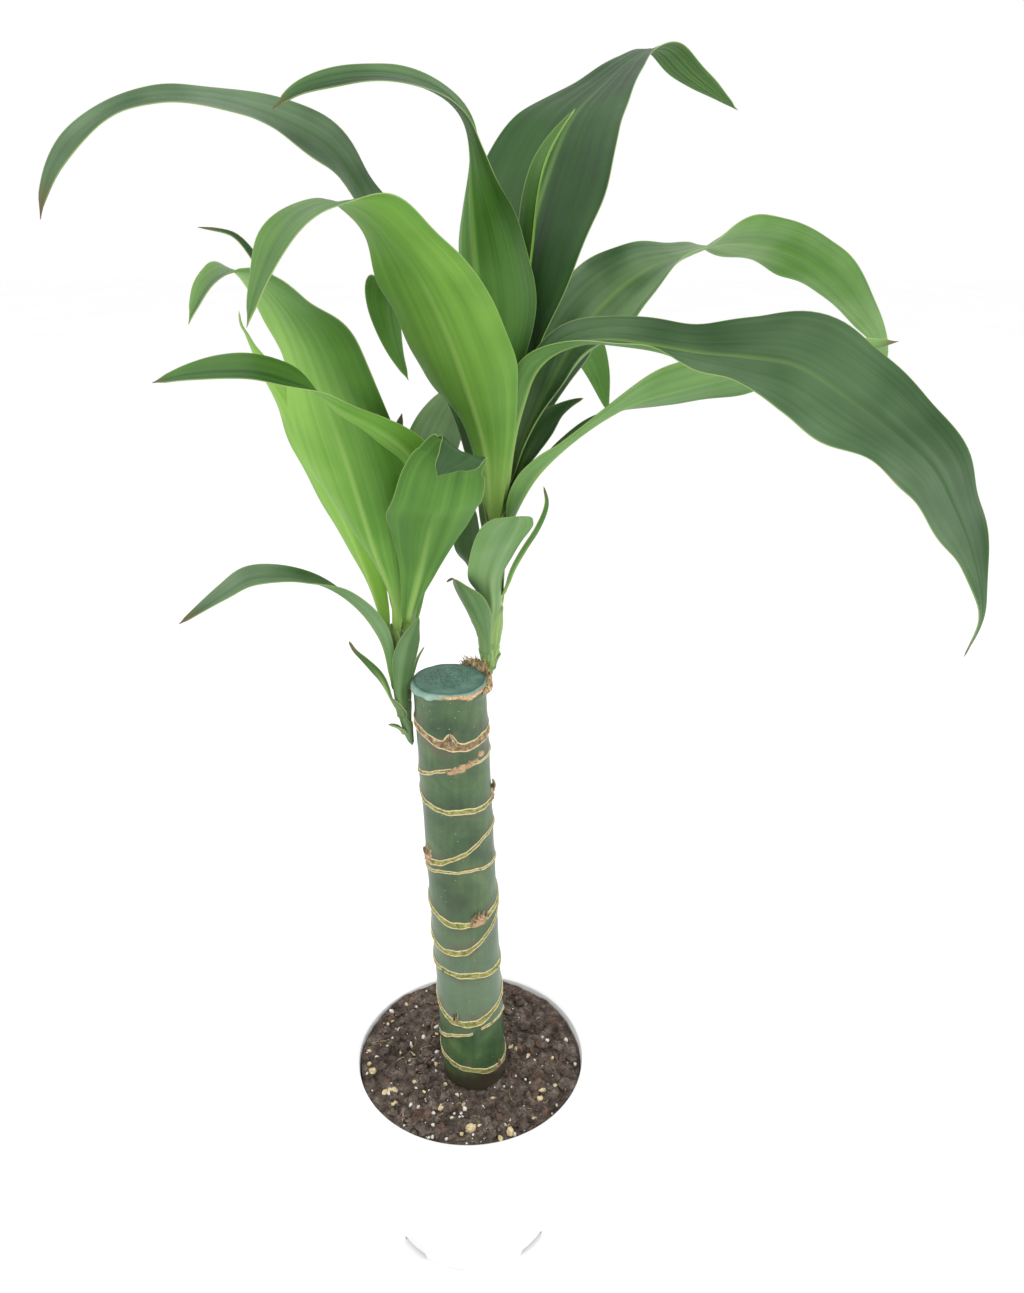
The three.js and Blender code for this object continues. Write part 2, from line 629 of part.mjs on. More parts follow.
function makeSoil() {
  const sides = POT_SIDES;
  const hole = CANE.radius + GAP;
  const bottom = POT.footHeight + POT.floor + GAP;
  const flats = Math.cos(Math.PI / sides); // keeps the ring inside the pot's faceted wall
  const wall = (z) => (potOutside(z) - POT.wall - GAP) * flats;
  const level = (z) => circle(new THREE.Vector3(0, 0, z), wall(z), sides);
  const shoulder = POT.height - POT.rimBand - 2;
  const rings = [[new THREE.Vector3(0, 0, bottom)], level(bottom), level(shoulder)];
  for (let i = 0; i <= SOIL.rings; i++) {
    const out = 1 - i / SOIL.rings;
    const centre = caneAxis(SOIL.level).multiplyScalar(1 - out);
    const outer = wall(shoulder) - 0.2;
    const ring = [];
    for (let j = 0; j < sides; j++) {
      const angle = (2 * Math.PI * j) / sides;
      const r = hole + (outer - hole) * out;
      const x = centre.x + r * Math.cos(angle);
      const y = centre.y + r * Math.sin(angle);
      ring.push(new THREE.Vector3(x, y, soilHeight(x, y)));
    }
    rings.push(ring);
  }
  const holeBottom = caneAxis(SOIL.holeFloor);
  rings.push(circle(holeBottom, hole, sides));
  rings.push([holeBottom]);
  return skin(rings);
}

// ---- cane -----------------------------------------------------------------------------------

const CANE_SIDES = 28;

function caneRing(height, radius, sides = CANE_SIDES) {
  const ring = [];
  for (let j = 0; j < sides; j++) {
    const angle = (2 * Math.PI * j) / sides;
    const z = typeof height === 'function' ? height(angle) : height;
    const centre = caneAxis(z);
    ring.push(new THREE.Vector3(
      centre.x + radius * Math.cos(angle), centre.y + radius * Math.sin(angle), z));
  }
  return ring;
}

// One dried bud: a small blunt wedge on the bark, sunk into it.
function makeBud([direction, height, size]) {
  const centre = caneAxis(height);
  const out = new THREE.Vector3(Math.cos(radians(direction)), Math.sin(radians(direction)), 0);
  centre.addScaledVector(out, CANE.radius - 0.6);
  const bud = new THREE.IcosahedronGeometry(1, 0);
  bud.scale(size * 0.42, size * 0.5, size * 0.6);
  bud.rotateZ(radians(direction));
  bud.translate(centre.x, centre.y, centre.z);
  return mergeCorners(bud);
}

function makeCane() {
  const { radius, scarHeight, scarHalfWidth } = CANE;
  const rings = [[caneAxis(CANE.bottom)], caneRing(CANE.bottom, radius - 1)];
  rings.push(caneRing(CANE.bottom + 2, radius));
  rings.push(caneRing(SOIL.level, radius - 0.2));
  for (const [height, tilt, towards] of SCARS) {
    const scar = (offset) => (angle) => height + tilt * Math.cos(angle - radians(towards)) + offset;
    rings.push(caneRing(scar(-2 * scarHalfWidth), radius));
    rings.push(caneRing(scar(-0.4), radius + scarHeight));
    rings.push(caneRing(scar(0.4), radius + scarHeight * 0.9));
    rings.push(caneRing(scar(2 * scarHalfWidth), radius));
  }
  rings.push(caneRing(caneTop.z - CANE.lipDepth, radius - 0.1));
  rings.push(caneRing(caneTop.z - CANE.lipDepth + 1, radius + CANE.lipHeight));
  rings.push(caneRing(caneTop.z, radius + CANE.lipHeight - 0.4));
  rings.push([caneAxis(caneTop.z)]);
  let cane = toManifold(skin(rings));
  for (const bud of BUDS) cane = cane.add(toManifold(makeBud(bud)));
  return fromManifold(cane);
}

// Sealing wax poured over the cut, slightly domed and uneven.
function makeWax() {
  const base = caneTop.z + GAP;
  const centre = new THREE.Vector3(caneTop.x, caneTop.y, base);
  const uneven = (angle) => 0.15 * Math.sin(3 * angle) + 0.1 * Math.cos(7 * angle);
  const disc = (radius, z) => circle(new THREE.Vector3(centre.x, centre.y, z), radius, CANE_SIDES,
    z > base ? uneven : undefined);
  const top = base + WAX.thickness;
  return skin([
    [centre],
    disc(WAX.radius, base),
    disc(WAX.radius + 0.5, base + 0.8),
    disc(WAX.radius - 0.4, top),
    disc(WAX.radius * 0.65, top + WAX.rise * 0.5),
    disc(WAX.radius * 0.3, top + WAX.rise),
    [new THREE.Vector3(centre.x, centre.y, top + WAX.rise)],
  ]);
}

// ---- shoots ---------------------------------------------------------------------------------

const STEM_SIDES = 12;

function stemAt(stem, z) {
  const keys = (n) => stem.map((p) => [p[2], p[n]]);
  return { x: between(keys(0), z), y: between(keys(1), z), radius: between(keys(3), z) };
}

// A bract: a thin pointed scale that stands off the stem, its foot sunk into it.
function makeBract(stem, [direction, height, length, width]) {
  const at = stemAt(stem, height);
  const bract = new THREE.ConeGeometry(0.5, 1, 4);
  bract.translate(0, 0.5, 0);
  bract.rotateX(Math.PI / 2);
  bract.scale(1.8, width, length);
  bract.translate(at.radius - 1, 0, -1);
  bract.rotateY(radians(14));
  bract.rotateZ(radians(direction));
  bract.translate(at.x, at.y, height);
  return mergeCorners(bract);
}

function makeStem(stem, bracts) {
  const low = stem[0];
  const high = stem[stem.length - 1];
  const steps = 14;
  const rings = [[new THREE.Vector3(low[0], low[1], low[2] - 0.6)]];
  for (let i = 0; i <= steps; i++) {
    const z = THREE.MathUtils.lerp(low[2], high[2], i / steps);
    const at = stemAt(stem, z);
    const joint = i % 2 === 0 ? 0 : 0.25; // slight swelling at every other step
    rings.push(circle(new THREE.Vector3(at.x, at.y, z), at.radius + joint - 0.25, STEM_SIDES));
  }
  rings.push([new THREE.Vector3(high[0], high[1], high[2] + 1)]);
  let solid = toManifold(skin(rings));
  for (const bract of bracts) solid = solid.add(toManifold(makeBract(stem, bract)));
  return fromManifold(solid);
}

// Torn fibrous bark at the foot of the right shoot: a ragged crescent that runs along the cut's
// edge and stands up highest beside the shoot.
function makeHusk() {
  const steps = 26;
  const inner = CANE.radius + CANE.lipHeight + GAP;
  const rings = [];
  for (let i = 0; i <= steps; i++) {
    const s = i / steps;
    const direction = radians(THREE.MathUtils.lerp(HUSK.from, HUSK.to, s));
    const torn = 0.5 * Math.sin(9 * s + 1) + 0.5 * Math.sin(31 * s);
    const top = between(HUSK.tops, s) + 0.6 * torn;
    const low = between(HUSK.lows, s);
    const thick = between(HUSK.thickness, s);
    const place = (out, z) => new THREE.Vector3(
      caneTop.x + (inner + out) * Math.cos(direction),
      caneTop.y + (inner + out) * Math.sin(direction), z);
    rings.push([
      place(0, top), place(thick * 0.6, top - 0.2), place(thick, (low + top) / 2),
      place(thick * 0.7, low + 0.2), place(0, low),
    ]);
  }
  const middle = (ring) => [ring.reduce((sum, p) => sum.add(p), new THREE.Vector3())
    .divideScalar(ring.length)];
  return skin([middle(rings[0]), ...rings, middle(rings[steps])]);
}

// Where a leaf is joined: a point just off the stem's surface, and its distance from the axis.
function leafFoot(stem, [direction, height]) {
  const at = stemAt(stem, height);
  const out = at.radius + GAP + LEAF.thickness / 2;
  const point = new THREE.Vector3(
    at.x + out * Math.cos(radians(direction)), at.y + out * Math.sin(radians(direction)), height);
  return { point, out };
}

// A leaf blade: a thin strip along the midrib, channelled, turned about the midrib and tapered.
// Its foot lies against the stem, so the turn and the bend there are the stem's own.
function makeLeaf(stem, leaf) {
  const foot = leafFoot(stem, leaf.foot);
  const spine = [foot.point, ...leaf.spine.map((p) => new THREE.Vector3(...p))];
  const curve = new THREE.CatmullRomCurve3(spine, false, 'catmullrom', 0.5);
  const length = curve.getLength();
  const footTurn = ((leaf.foot[0] - leaf.heading + 540) % 360) - 180;
  const heading = new THREE.Vector3(
    Math.cos(radians(leaf.heading)), Math.sin(radians(leaf.heading)), 0);
  const level = new THREE.Vector3(0, 0, 1).cross(heading);
  const stations = leaf.stations;
  const across = LEAF.across;
  const upper = [];
  const lower = [];
  for (let i = 0; i <= stations; i++) {
    const s = i / stations;
    const centre = curve.getPointAt(s);
    const along = curve.getTangentAt(s);
    const side = level.clone().addScaledVector(along, -along.dot(level)).normalize();
    const up = along.clone().cross(side);
    const hold = 1 - THREE.MathUtils.smoothstep(s * length, 0, LEAF.sheathLength);
    const turn = radians(THREE.MathUtils.lerp(between(leaf.twist, s), footTurn, hold));
    const left = side.clone().multiplyScalar(Math.cos(turn)).addScaledVector(up, Math.sin(turn));
    const face = up.clone().multiplyScalar(Math.cos(turn)).addScaledVector(side, -Math.sin(turn));
    const half = Math.max(0.5, between(leaf.halfWidths, s));
    const freeRoll = radians(between(leaf.channel, s));
    const roll = THREE.MathUtils.lerp(freeRoll, half / foot.out, hold);
    const bend = half / roll;
    const keel = LEAF.midribDepth * (1 - s);
    for (let j = 0; j <= across; j++) {
      const v = (2 * j) / across - 1;
      const a = roll * v;
      const point = centre.clone()
        .addScaledVector(left, bend * Math.sin(a))
        .addScaledVector(face, bend * (1 - Math.cos(a)));
      const normal = face.clone().multiplyScalar(Math.cos(a)).addScaledVector(left, -Math.sin(a));
      const midrib = v === 0 ? keel : 0;
      upper.push(point.clone().addScaledVector(normal, LEAF.thickness / 2));
      lower.push(point.clone().addScaledVector(normal, -LEAF.thickness / 2 - midrib));
    }
  }
  return meshGeometry([...upper, ...lower], bladeTriangles(stations, across));
}

// Both faces of a blade are split along the same diagonals.
function bladeTriangles(stations, across) {
  const row = across + 1;
  const under = (stations + 1) * row;
  const triangles = [];
  const quad = (a, b, c, d) => triangles.push([a, b, c], [a, c, d]);
  for (let i = 0; i < stations; i++) {
    for (let j = 0; j < across; j++) {
      const a = i * row + j;
      const b = a + row;
      triangles.push([a, b, b + 1], [a, b + 1, a + 1]);
      triangles.push([under + a, under + b + 1, under + b], [under + a, under + a + 1, under + b + 1]);
    }
    const left = i * row;
    const right = left + across;
    quad(under + left, under + left + row, left + row, left);
    quad(under + right, right, right + row, under + right + row);
  }
  for (let j = 0; j < across; j++) {
    const tip = stations * row + j;
    quad(under + j, j, j + 1, under + j + 1);
    quad(under + tip, under + tip + 1, tip + 1, tip);
  }
  return triangles;
}

// ---- assembly -------------------------------------------------------------------------------

const group = new THREE.Group();

function addNode(name, geometry, material) {
  const mesh = new THREE.Mesh(geometry, material);
  mesh.name = name;
  group.add(mesh);
}

addNode('pot', makePot(), materials.pot);
addNode('soil', makeSoil(), materials.soil);
addNode('cane', makeCane(), materials.cane);
addNode('wax_cap', makeWax(), materials.wax);
addNode('right_shoot_stem', makeStem(RIGHT_STEM, RIGHT_BRACTS), materials.stem);
addNode('right_shoot_husk', makeHusk(), materials.husk);
addNode('left_shoot_stem', makeStem(LEFT_STEM, LEFT_BRACTS), materials.stem);
for (const leaf of RIGHT_LEAVES) addNode(leaf.name, makeLeaf(RIGHT_STEM, leaf), materials.leaf);
for (const leaf of LEFT_LEAVES) addNode(leaf.name, makeLeaf(LEFT_STEM, leaf), materials.leaf);

export default group;
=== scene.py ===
import math
import random

import bpy
import numpy as np
from mathutils import Matrix, Vector, noise


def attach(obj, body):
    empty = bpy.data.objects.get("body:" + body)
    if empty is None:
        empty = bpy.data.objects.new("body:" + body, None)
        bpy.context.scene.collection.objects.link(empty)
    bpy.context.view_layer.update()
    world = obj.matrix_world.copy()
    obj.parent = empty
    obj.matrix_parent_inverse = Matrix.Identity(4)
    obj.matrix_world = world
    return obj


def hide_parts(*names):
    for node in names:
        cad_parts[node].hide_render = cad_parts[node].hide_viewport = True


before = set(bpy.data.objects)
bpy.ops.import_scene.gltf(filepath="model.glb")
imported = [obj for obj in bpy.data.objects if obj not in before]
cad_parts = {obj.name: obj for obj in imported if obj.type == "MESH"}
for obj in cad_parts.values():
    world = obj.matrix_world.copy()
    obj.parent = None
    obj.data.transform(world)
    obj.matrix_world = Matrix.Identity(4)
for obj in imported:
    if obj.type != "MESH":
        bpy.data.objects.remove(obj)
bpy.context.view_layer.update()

# A corn plant in its nursery pot: a ringed cane with a waxed cut and two leafy shoots.
# Lengths in the tables below are millimetres; meshes are made in metres.

MM = 0.001
TURN = 2 * math.pi

# ---- driving dimensions ---------------------------------------------------------------------

POT = dict(height=106, base=43.7, shoulder=58.5, rim=60, rim_inner=57, band=6, wall=1.8,
           foot=4, foot_width=3.6, floor=2, centre_foot=12, notches=4, notch_angle=11,
           drain=3.5, drain_circle=33, sides=144)

SOIL = dict(level=100, bank=2.4, slope=1.1, relief=1.5, bottom=6.3, hole_floor=45,
            loose_radius=54.5, fibres=26)

CANE = dict(radius=16.3, foot=(1.9, -3.3, 98), top=(-6.9, -4.1, 319.5), bottom=45.3)

# Leaf scars round the cane: mean height, tilt, the direction in degrees that it rises towards, and
# the width of its band at the low side.
SCARS = [
    (115, 3.5, 140, 3.0), (132, 8.7, 313, 1.9), (152.6, 9.2, 83, 3.2), (173.5, 2.1, 142, 3.0),
    (199.5, 14.5, 58, 2.7), (209.8, 7.3, 84, 2.9), (228.8, 4.2, 290, 1.8), (241.5, 8.5, 1, 2.6),
    (267, 3.8, 117, 2.3), (283.5, 4.9, 338, 1.6), (301.5, 4.3, 117, 4.0),
]
BROKEN_SCAR = dict(count=1, direction=280)  # this one isn't closed: its ends miss each other here
PEAK = dict(direction=268, height=4.0, half_width=3.3)  # the top scar rises to a point round its bud

# Dried buds on the scars: direction in degrees, height of its foot, width, length, frayed or not.
BUDS = [
    (268, 298.4, 4.4, 5.4, 0), (203, 232.5, 6.5, 10.0, 1), (296, 203.0, 8.0, 7.5, 1),
    (2, 265.0, 4.0, 6.0, 0), (244, 143.6, 3.8, 6.2, 1), (320, 111.2, 2.4, 3.6, 0),
]
BUD_SCALES = 9  # in a frayed one
# Patches of loose brown bark: direction, height, half width round the cane, half height.
BARK = [(267, 284.6, 2.6, 1.1), (277, 285.6, 3.2, 1.5), (289, 287.2, 2.8, 1.2), (303, 288.6, 2.6, 0.8),
        (318, 290.6, 1.8, 1.3), (357, 265, 3.0, 2.6), (203, 236, 4.0, 4.4), (296, 204, 4.4, 3.0),
        (322, 111, 3.0, 1.2)]

# The wax has run down as a skirt on the left, and round the front the bark stands up by the lip,
# whose torn edge is thicker past one place. These three are directions in degrees.
WAX = dict(base=319.8, thickness=1.8, radius=15.8, rise=0.5, skirt=1.9, lip=1.4,
           left=205, front=310, thick_from=285)

# The torn bark beside the right shoot runs between two directions round the cut. Its top, its foot
# and its thickness are (share of the way, value).
HUSK = dict(start=-32, end=74, fibres=130,
            tops=[(0, 320.2), (0.2, 321), (0.32, 322.4), (0.45, 323.8), (0.6, 324.4), (0.76, 324.6),
                  (0.9, 323), (1, 321)],
            feet=[(0, 318), (0.3, 316.4), (0.55, 316), (0.8, 317), (1, 319)],
            thickness=[(0, 0.7), (0.3, 1.5), (0.5, 1.6), (0.76, 1.8), (1, 0.6)])

SHEATH = 24  # how far along a leaf its foot still lies against the stem
SOFT_BEND, SHARP_BEND = 4.0, 1.2  # the length over which a midrib's bends are eased
# A blade's thickness in the middle and at the edge, its groove and keel along the midrib, the
# widths of its pleats, and the lengths of its edge waves and of its slow swell.
BLADE = dict(thick=0.62, thin=0.3, groove=0.55, keel=0.9, pleats=(8.3, 5.3), ripples=(47, 29), swell=83)

# Shoot stems: points of the axis with the radius there.
RIGHT_STEM = [
    (10.6, 9.0, 315, 1.4), (10.7, 9.0, 321, 2.6), (10.6, 8.9, 325, 3.8), (10.6, 8.6, 331, 4.6),
    (10.8, 8.4, 338, 5.0), (11.4, 8.0, 350, 5.4), (12.6, 7.2, 368, 5.2), (14.0, 6.2, 388, 4.6),
    (15.2, 5.2, 408, 3.4), (16.4, 4.6, 424, 1.6),
]
LEFT_STEM = [
    (-24.0, 0.3, 287, 1.4), (-25.7, 0.4, 294, 2.4), (-26.7, 0.4, 302, 3.0), (-27.4, 0.3, 309, 3.7),
    (-27.6, 0.2, 317, 4.2), (-26.9, 0.0, 330, 4.5), (-25.0, -0.2, 346, 4.4),
    (-23.4, -0.4, 360, 3.4), (-22.4, -0.6, 372, 1.4),
]

# Small dry bracts on a stem: direction, height, length, width, how far the tip stands off as a
# share of the length, and how light it is.
RIGHT_BRACTS = [(195, 338, 8.5, 4, 0.32, 0.4), (345, 322, 8, 4.5, 0.3, 0.3),
                (322, 335, 19, 9.5, 0.06, 0.9), (240, 327, 10, 8, 0.06, 0.8),
                (285, 324, 12, 10, 0.06, 0.85), (185, 385, 22, 9, 0.12, 0.1)]
LEFT_BRACTS = [(210, 295, 7, 6, 0.95, 0.6), (340, 319, 20, 4.4, 0.32, 0.3),
               (220, 304, 11, 9, 0.28, 0.3), (228, 335, 15, 8.5, 0.04, 0.9)]

# Leaves. heading: the way the leaf runs out, degrees from +X. foot: direction round the stem and
# height where it is joined. spine: the rest of the midrib. half_widths, twist and channel are
# (share of length, value): half the width, the turn about the midrib in degrees, and the angle
# in degrees through which half the blade is rolled up. looks: how light the leaf is (0 dark,
# 1 yellow green), how much painted shade darkens its edge on the right against that on the left,
# how much its edges wave in mm, how much of its tip is dry, and how much grey sheen is painted on
# it. drawn_down: how far its foot runs on down the stem, as a sheath. folded: its tip is folded
# over sharply.
PLAIN_LEAF = dict(twist=[(0, 0), (1, 0)], drawn_down=0, folded=False)
RIGHT_LEAVES = [
    dict(name="right_leaf_front_broad", heading=225, foot=(242, 389),
         looks=(0.7, 0.05, 0.9, 0, 0.05),
         spine=[(9, -6, 421), (1.5, -20, 450), (-9, -37, 479), (-19.5, -53, 499),
                (-29.5, -67, 510), (-41, -80, 510), (-50, -90, 503), (-56, -98, 491), (-60, -102, 479)],
         half_widths=[(0, 3.5), (0.12, 9), (0.2, 14), (0.3, 20), (0.4, 20.5), (0.5, 19.5),
                      (0.6, 16.5), (0.7, 13.5), (0.8, 10), (0.88, 8), (1, 0.5)],
         twist=[(0, 0), (0.15, 12), (0.35, 22), (0.55, 14), (0.7, 4), (0.8, 0), (1, 0)],
         channel=[(0, 50), (0.2, 50), (0.4, 28), (1, 10)]),
    dict(name="right_leaf_tall_back", heading=50, foot=(60, 411),
         looks=(0.1, 0, 0.4, 0, 0),
         spine=[(21, 13, 437), (22.5, 17, 462), (26.5, 24, 489), (33.5, 39, 514), (45, 60, 538),
                (62, 82, 554), (78, 103, 567), (92, 119, 571), (108, 133, 562), (136, 152, 549)],
         half_widths=[(0, 3), (0.12, 9), (0.25, 23), (0.38, 30), (0.5, 25), (0.6, 17.5),
                      (0.7, 10.5), (0.8, 9.5), (0.88, 9), (1, 0.5)],
         twist=[(0, 5), (0.5, 5), (0.7, -5), (1, 0)],
         channel=[(0, 50), (0.1, 45), (0.25, 22), (0.5, 14), (1, 8)]),
    dict(name="right_leaf_folded_spear", heading=60, foot=(100, 419),
         looks=(0.7, 0, 0.2, 0, 0),
         spine=[(20.5, 9.5, 445), (24, 12, 470), (27, 13.2, 493), (28.5, 14, 511),
                (31.5, 15.5, 523), (37, 19, 533), (44, 24, 542)],
         half_widths=[(0, 2), (0.35, 5), (0.6, 5.8), (0.85, 4), (1, 0.5)],
         twist=[(0, -20), (1, -20)],
         channel=[(0, 60), (0.3, 85), (0.8, 65), (1, 40)]),
    dict(name="right_leaf_centre_arched", heading=200, foot=(255, 407),
         looks=(0.3, 0.4, 0.5, 0.02, 0.1),
         spine=[(12, -1, 440), (8, 2, 473), (6, 4, 492), (5, 3, 511), (5, 0, 527), (3, -4, 536),
                (-2, -10, 542), (-10, -17, 546), (-21, -26, 548), (-35, -35, 547), (-48, -44, 543),
                (-56, -50, 537)],
         half_widths=[(0, 3.5), (0.12, 6), (0.22, 15), (0.31, 23), (0.4, 22), (0.5, 15),
                      (0.6, 9), (0.72, 8.5), (0.88, 5), (1, 0.5)],
         twist=[(0, 25), (0.42, 30), (0.6, -20), (0.75, -22), (1, -50)],
         channel=[(0, 55), (0.2, 75), (0.3, 85), (0.45, 80), (0.65, 25), (1, 10)]),
    dict(name="right_leaf_back_arched", heading=22, foot=(30, 402),
         looks=(0.62, 0, 1.3, 0, 0.4),
         spine=[(25, 7, 422), (34.5, 11, 441), (45, 16, 459), (59, 22, 474), (75.5, 28, 485.5),
                (92, 35, 491), (106, 40, 495), (123, 48, 494), (143, 56, 489), (162, 64, 479),
                (177, 70, 466), (190, 75, 453), (198, 78, 439)],
         half_widths=[(0, 3), (0.12, 6.5), (0.25, 18.5), (0.36, 18), (0.47, 15.5),
                      (0.58, 16), (0.7, 14), (0.83, 10.5), (0.93, 5), (1, 0.5)],
         twist=[(0, 0), (0.2, 25), (0.33, 35), (0.45, 5), (0.55, -20), (0.65, -38), (1, -20)],
         channel=[(0, 50), (0.2, 60), (0.5, 25), (1, 10)]),
    dict(name="right_leaf_front_long", heading=338, foot=(305, 398),
         looks=(0.3, 0.1, 1.3, 0.02, 0.2),
         spine=[(20, -4, 424), (23, -6, 438), (28, -8, 452), (37, -12, 460), (52, -17, 464),
                (68, -22, 463.5), (86, -28, 461.5), (102, -34, 460.5), (118, -40, 458), (134, -47, 449),
                (151, -54, 437.5), (164, -59, 426), (172.5, -63, 411), (179, -65, 399), (185, -67, 384),
                (187, -68, 372), (184, -67, 357)],
         half_widths=[(0, 3.2), (0.1, 6), (0.2, 11), (0.29, 15.5), (0.4, 13), (0.5, 23),
                      (0.6, 24), (0.72, 16.5), (0.8, 15), (0.86, 9), (0.92, 3), (1, 0.5)],
         twist=[(0, 0), (0.15, 0), (0.28, 12), (0.4, 20), (0.52, 34), (0.7, 40), (1, 30)],
         channel=[(0, 55), (0.15, 70), (0.3, 40), (0.5, 18), (1, 10)]),
    dict(name="right_leaf_low_straight", heading=12, foot=(355, 388),
         looks=(0.4, 0.2, 0.6, 0.03, 0.3), drawn_down=8,
         spine=[(28, 3.5, 406), (40, 7, 418), (56, 10.5, 429), (72, 15, 436), (93, 19, 441),
                (115, 24, 445), (150, 31, 452), (185, 38, 456)],
         half_widths=[(0, 4.5), (0.05, 8), (0.1, 8.6), (0.15, 7.4), (0.2, 6.4), (0.28, 8),
                      (0.5, 14), (0.7, 13), (0.87, 6), (1, 0.5)],
         twist=[(0, 0), (0.05, -30), (0.1, -42), (0.15, -32), (0.2, -14), (0.3, -20),
                (0.45, -50), (1, -60)],
         channel=[(0, 55), (0.12, 50), (0.2, 55), (0.32, 40), (0.5, 20), (1, 15)]),
    dict(name="right_leaf_back_drooping", heading=70, foot=(92, 396),
         looks=(0.4, 0, 0.5, 0.02, 0.1),
         spine=[(29, 26, 428), (42, 40, 446), (51, 52, 453), (60, 62, 440), (67, 68, 421)],
         half_widths=[(0, 2.8), (0.15, 4), (0.35, 9), (0.6, 11), (0.8, 7), (1, 0.5)],
         channel=[(0, 50), (0.3, 40), (1, 15)]),
    dict(name="right_leaf_small_curled", heading=25, foot=(16, 395),
         looks=(0.2, 0, 0.5, 0, 0.1),
         spine=[(24.5, 9.5, 411), (30.5, 13, 421.5), (37, 16, 429.5), (44, 18.5, 434),
                (50, 21, 436)],
         half_widths=[(0, 2.8), (0.15, 4), (0.35, 6.5), (0.6, 6.8), (0.8, 3.2), (1, 0.5)],
         twist=[(0, 0), (0.5, 30), (1, 30)],
         channel=[(0, 50), (0.3, 50), (1, 20)]),
    dict(name="right_leaf_rear", heading=125, foot=(125, 388),
         looks=(0.2, 0, 0.5, 0, 0.1),
         spine=[(5, 19, 415), (-4, 34, 441), (-17, 53, 463), (-26, 68, 474), (-32, 77, 476),
                (-33, 76, 465), (-29, 69, 449), (-23, 59, 437)],
         half_widths=[(0, 4.5), (0.25, 9), (0.5, 11), (0.7, 10), (0.85, 6), (1, 0.5)],
         twist=[(0, 0), (1, 10)],
         channel=[(0, 50), (0.3, 40), (1, 15)]),
    dict(name="right_leaf_far_left", heading=195, foot=(162, 393),
         looks=(0.3, 0, 0.8, 0.03, 0.5),
         spine=[(6, 7.5, 427), (-5, 4, 458), (-19, 0.5, 489), (-33, -4.5, 511), (-43, -8, 526),
                (-56, -12, 534), (-73, -16, 540), (-87, -20, 542), (-99, -23, 541.5), (-111, -26, 538),
                (-123, -29, 530), (-130, -31, 522), (-135, -33, 512), (-137, -33, 505)],
         half_widths=[(0, 3.2), (0.1, 6), (0.25, 9.5), (0.4, 11), (0.5, 10.5),
                      (0.58, 12.5), (0.68, 11), (0.78, 6.5), (0.9, 4.5), (1, 0.5)],
         twist=[(0, -10), (0.35, -40), (0.5, -36), (0.6, -34), (0.7, -24), (0.8, -25), (1, -60)],
         channel=[(0, 50), (0.2, 50), (0.5, 20), (1, 10)]),
    dict(name="right_leaf_short_ragged", heading=300, foot=(270, 353),
         looks=(0.55, 0, 1, 0, 0.55), drawn_down=11,
         spine=[(11, -5, 368), (15, -9, 382), (21.5, -15, 397)],
         half_widths=[(0, 4.5), (0.3, 9), (0.6, 12.4), (0.85, 12), (1, 8)],
         channel=[(0, 50), (0.3, 35), (1, 15)]),
    dict(name="right_leaf_thin_hook", heading=340, foot=(345, 356),
         looks=(0.2, 0, 0.1, 0.06, 0.2),
         spine=[(20.5, 2, 368), (25.5, 1, 378), (31, -1, 388), (34.3, -2, 398),
                (32.5, -2, 405.5)],
         half_widths=[(0, 2.5), (0.4, 3), (0.8, 2.4), (1, 0.5)],
         channel=[(0, 28), (0.2, 50), (1, 45)]),
    dict(name="right_leaf_low_curled", heading=220, foot=(235, 337),
         looks=(0.2, 0, 0.2, 0.1, 0.55), drawn_down=8,
         spine=[(3.8, -2, 350), (0.6, -5.5, 359), (-1.9, -8, 366), (-4.5, -11, 370),
                (-7, -13, 369)],
         half_widths=[(0, 4), (0.25, 7.4), (0.5, 9.8), (0.68, 9.2), (0.8, 3.6),
                      (0.88, 1.5), (1, 0.5)],
         channel=[(0, 45), (0.3, 45), (1, 20)]),
    dict(name="right_leaf_narrow_rear", heading=200, foot=(190, 355),
         looks=(0.15, 0, 0.2, 0, 0.6),
         spine=[(4, 7, 366), (1.8, 7, 376), (1.4, 7.2, 386), (3.4, 7.8, 397)],
         half_widths=[(0, 3.5), (0.25, 5.5), (0.6, 6.2), (0.85, 4.2), (1, 0.5)],
         twist=[(0, 0), (0.25, 25), (0.5, 48), (1, 50)],
         channel=[(0, 35), (0.4, 20), (1, 10)]),
]

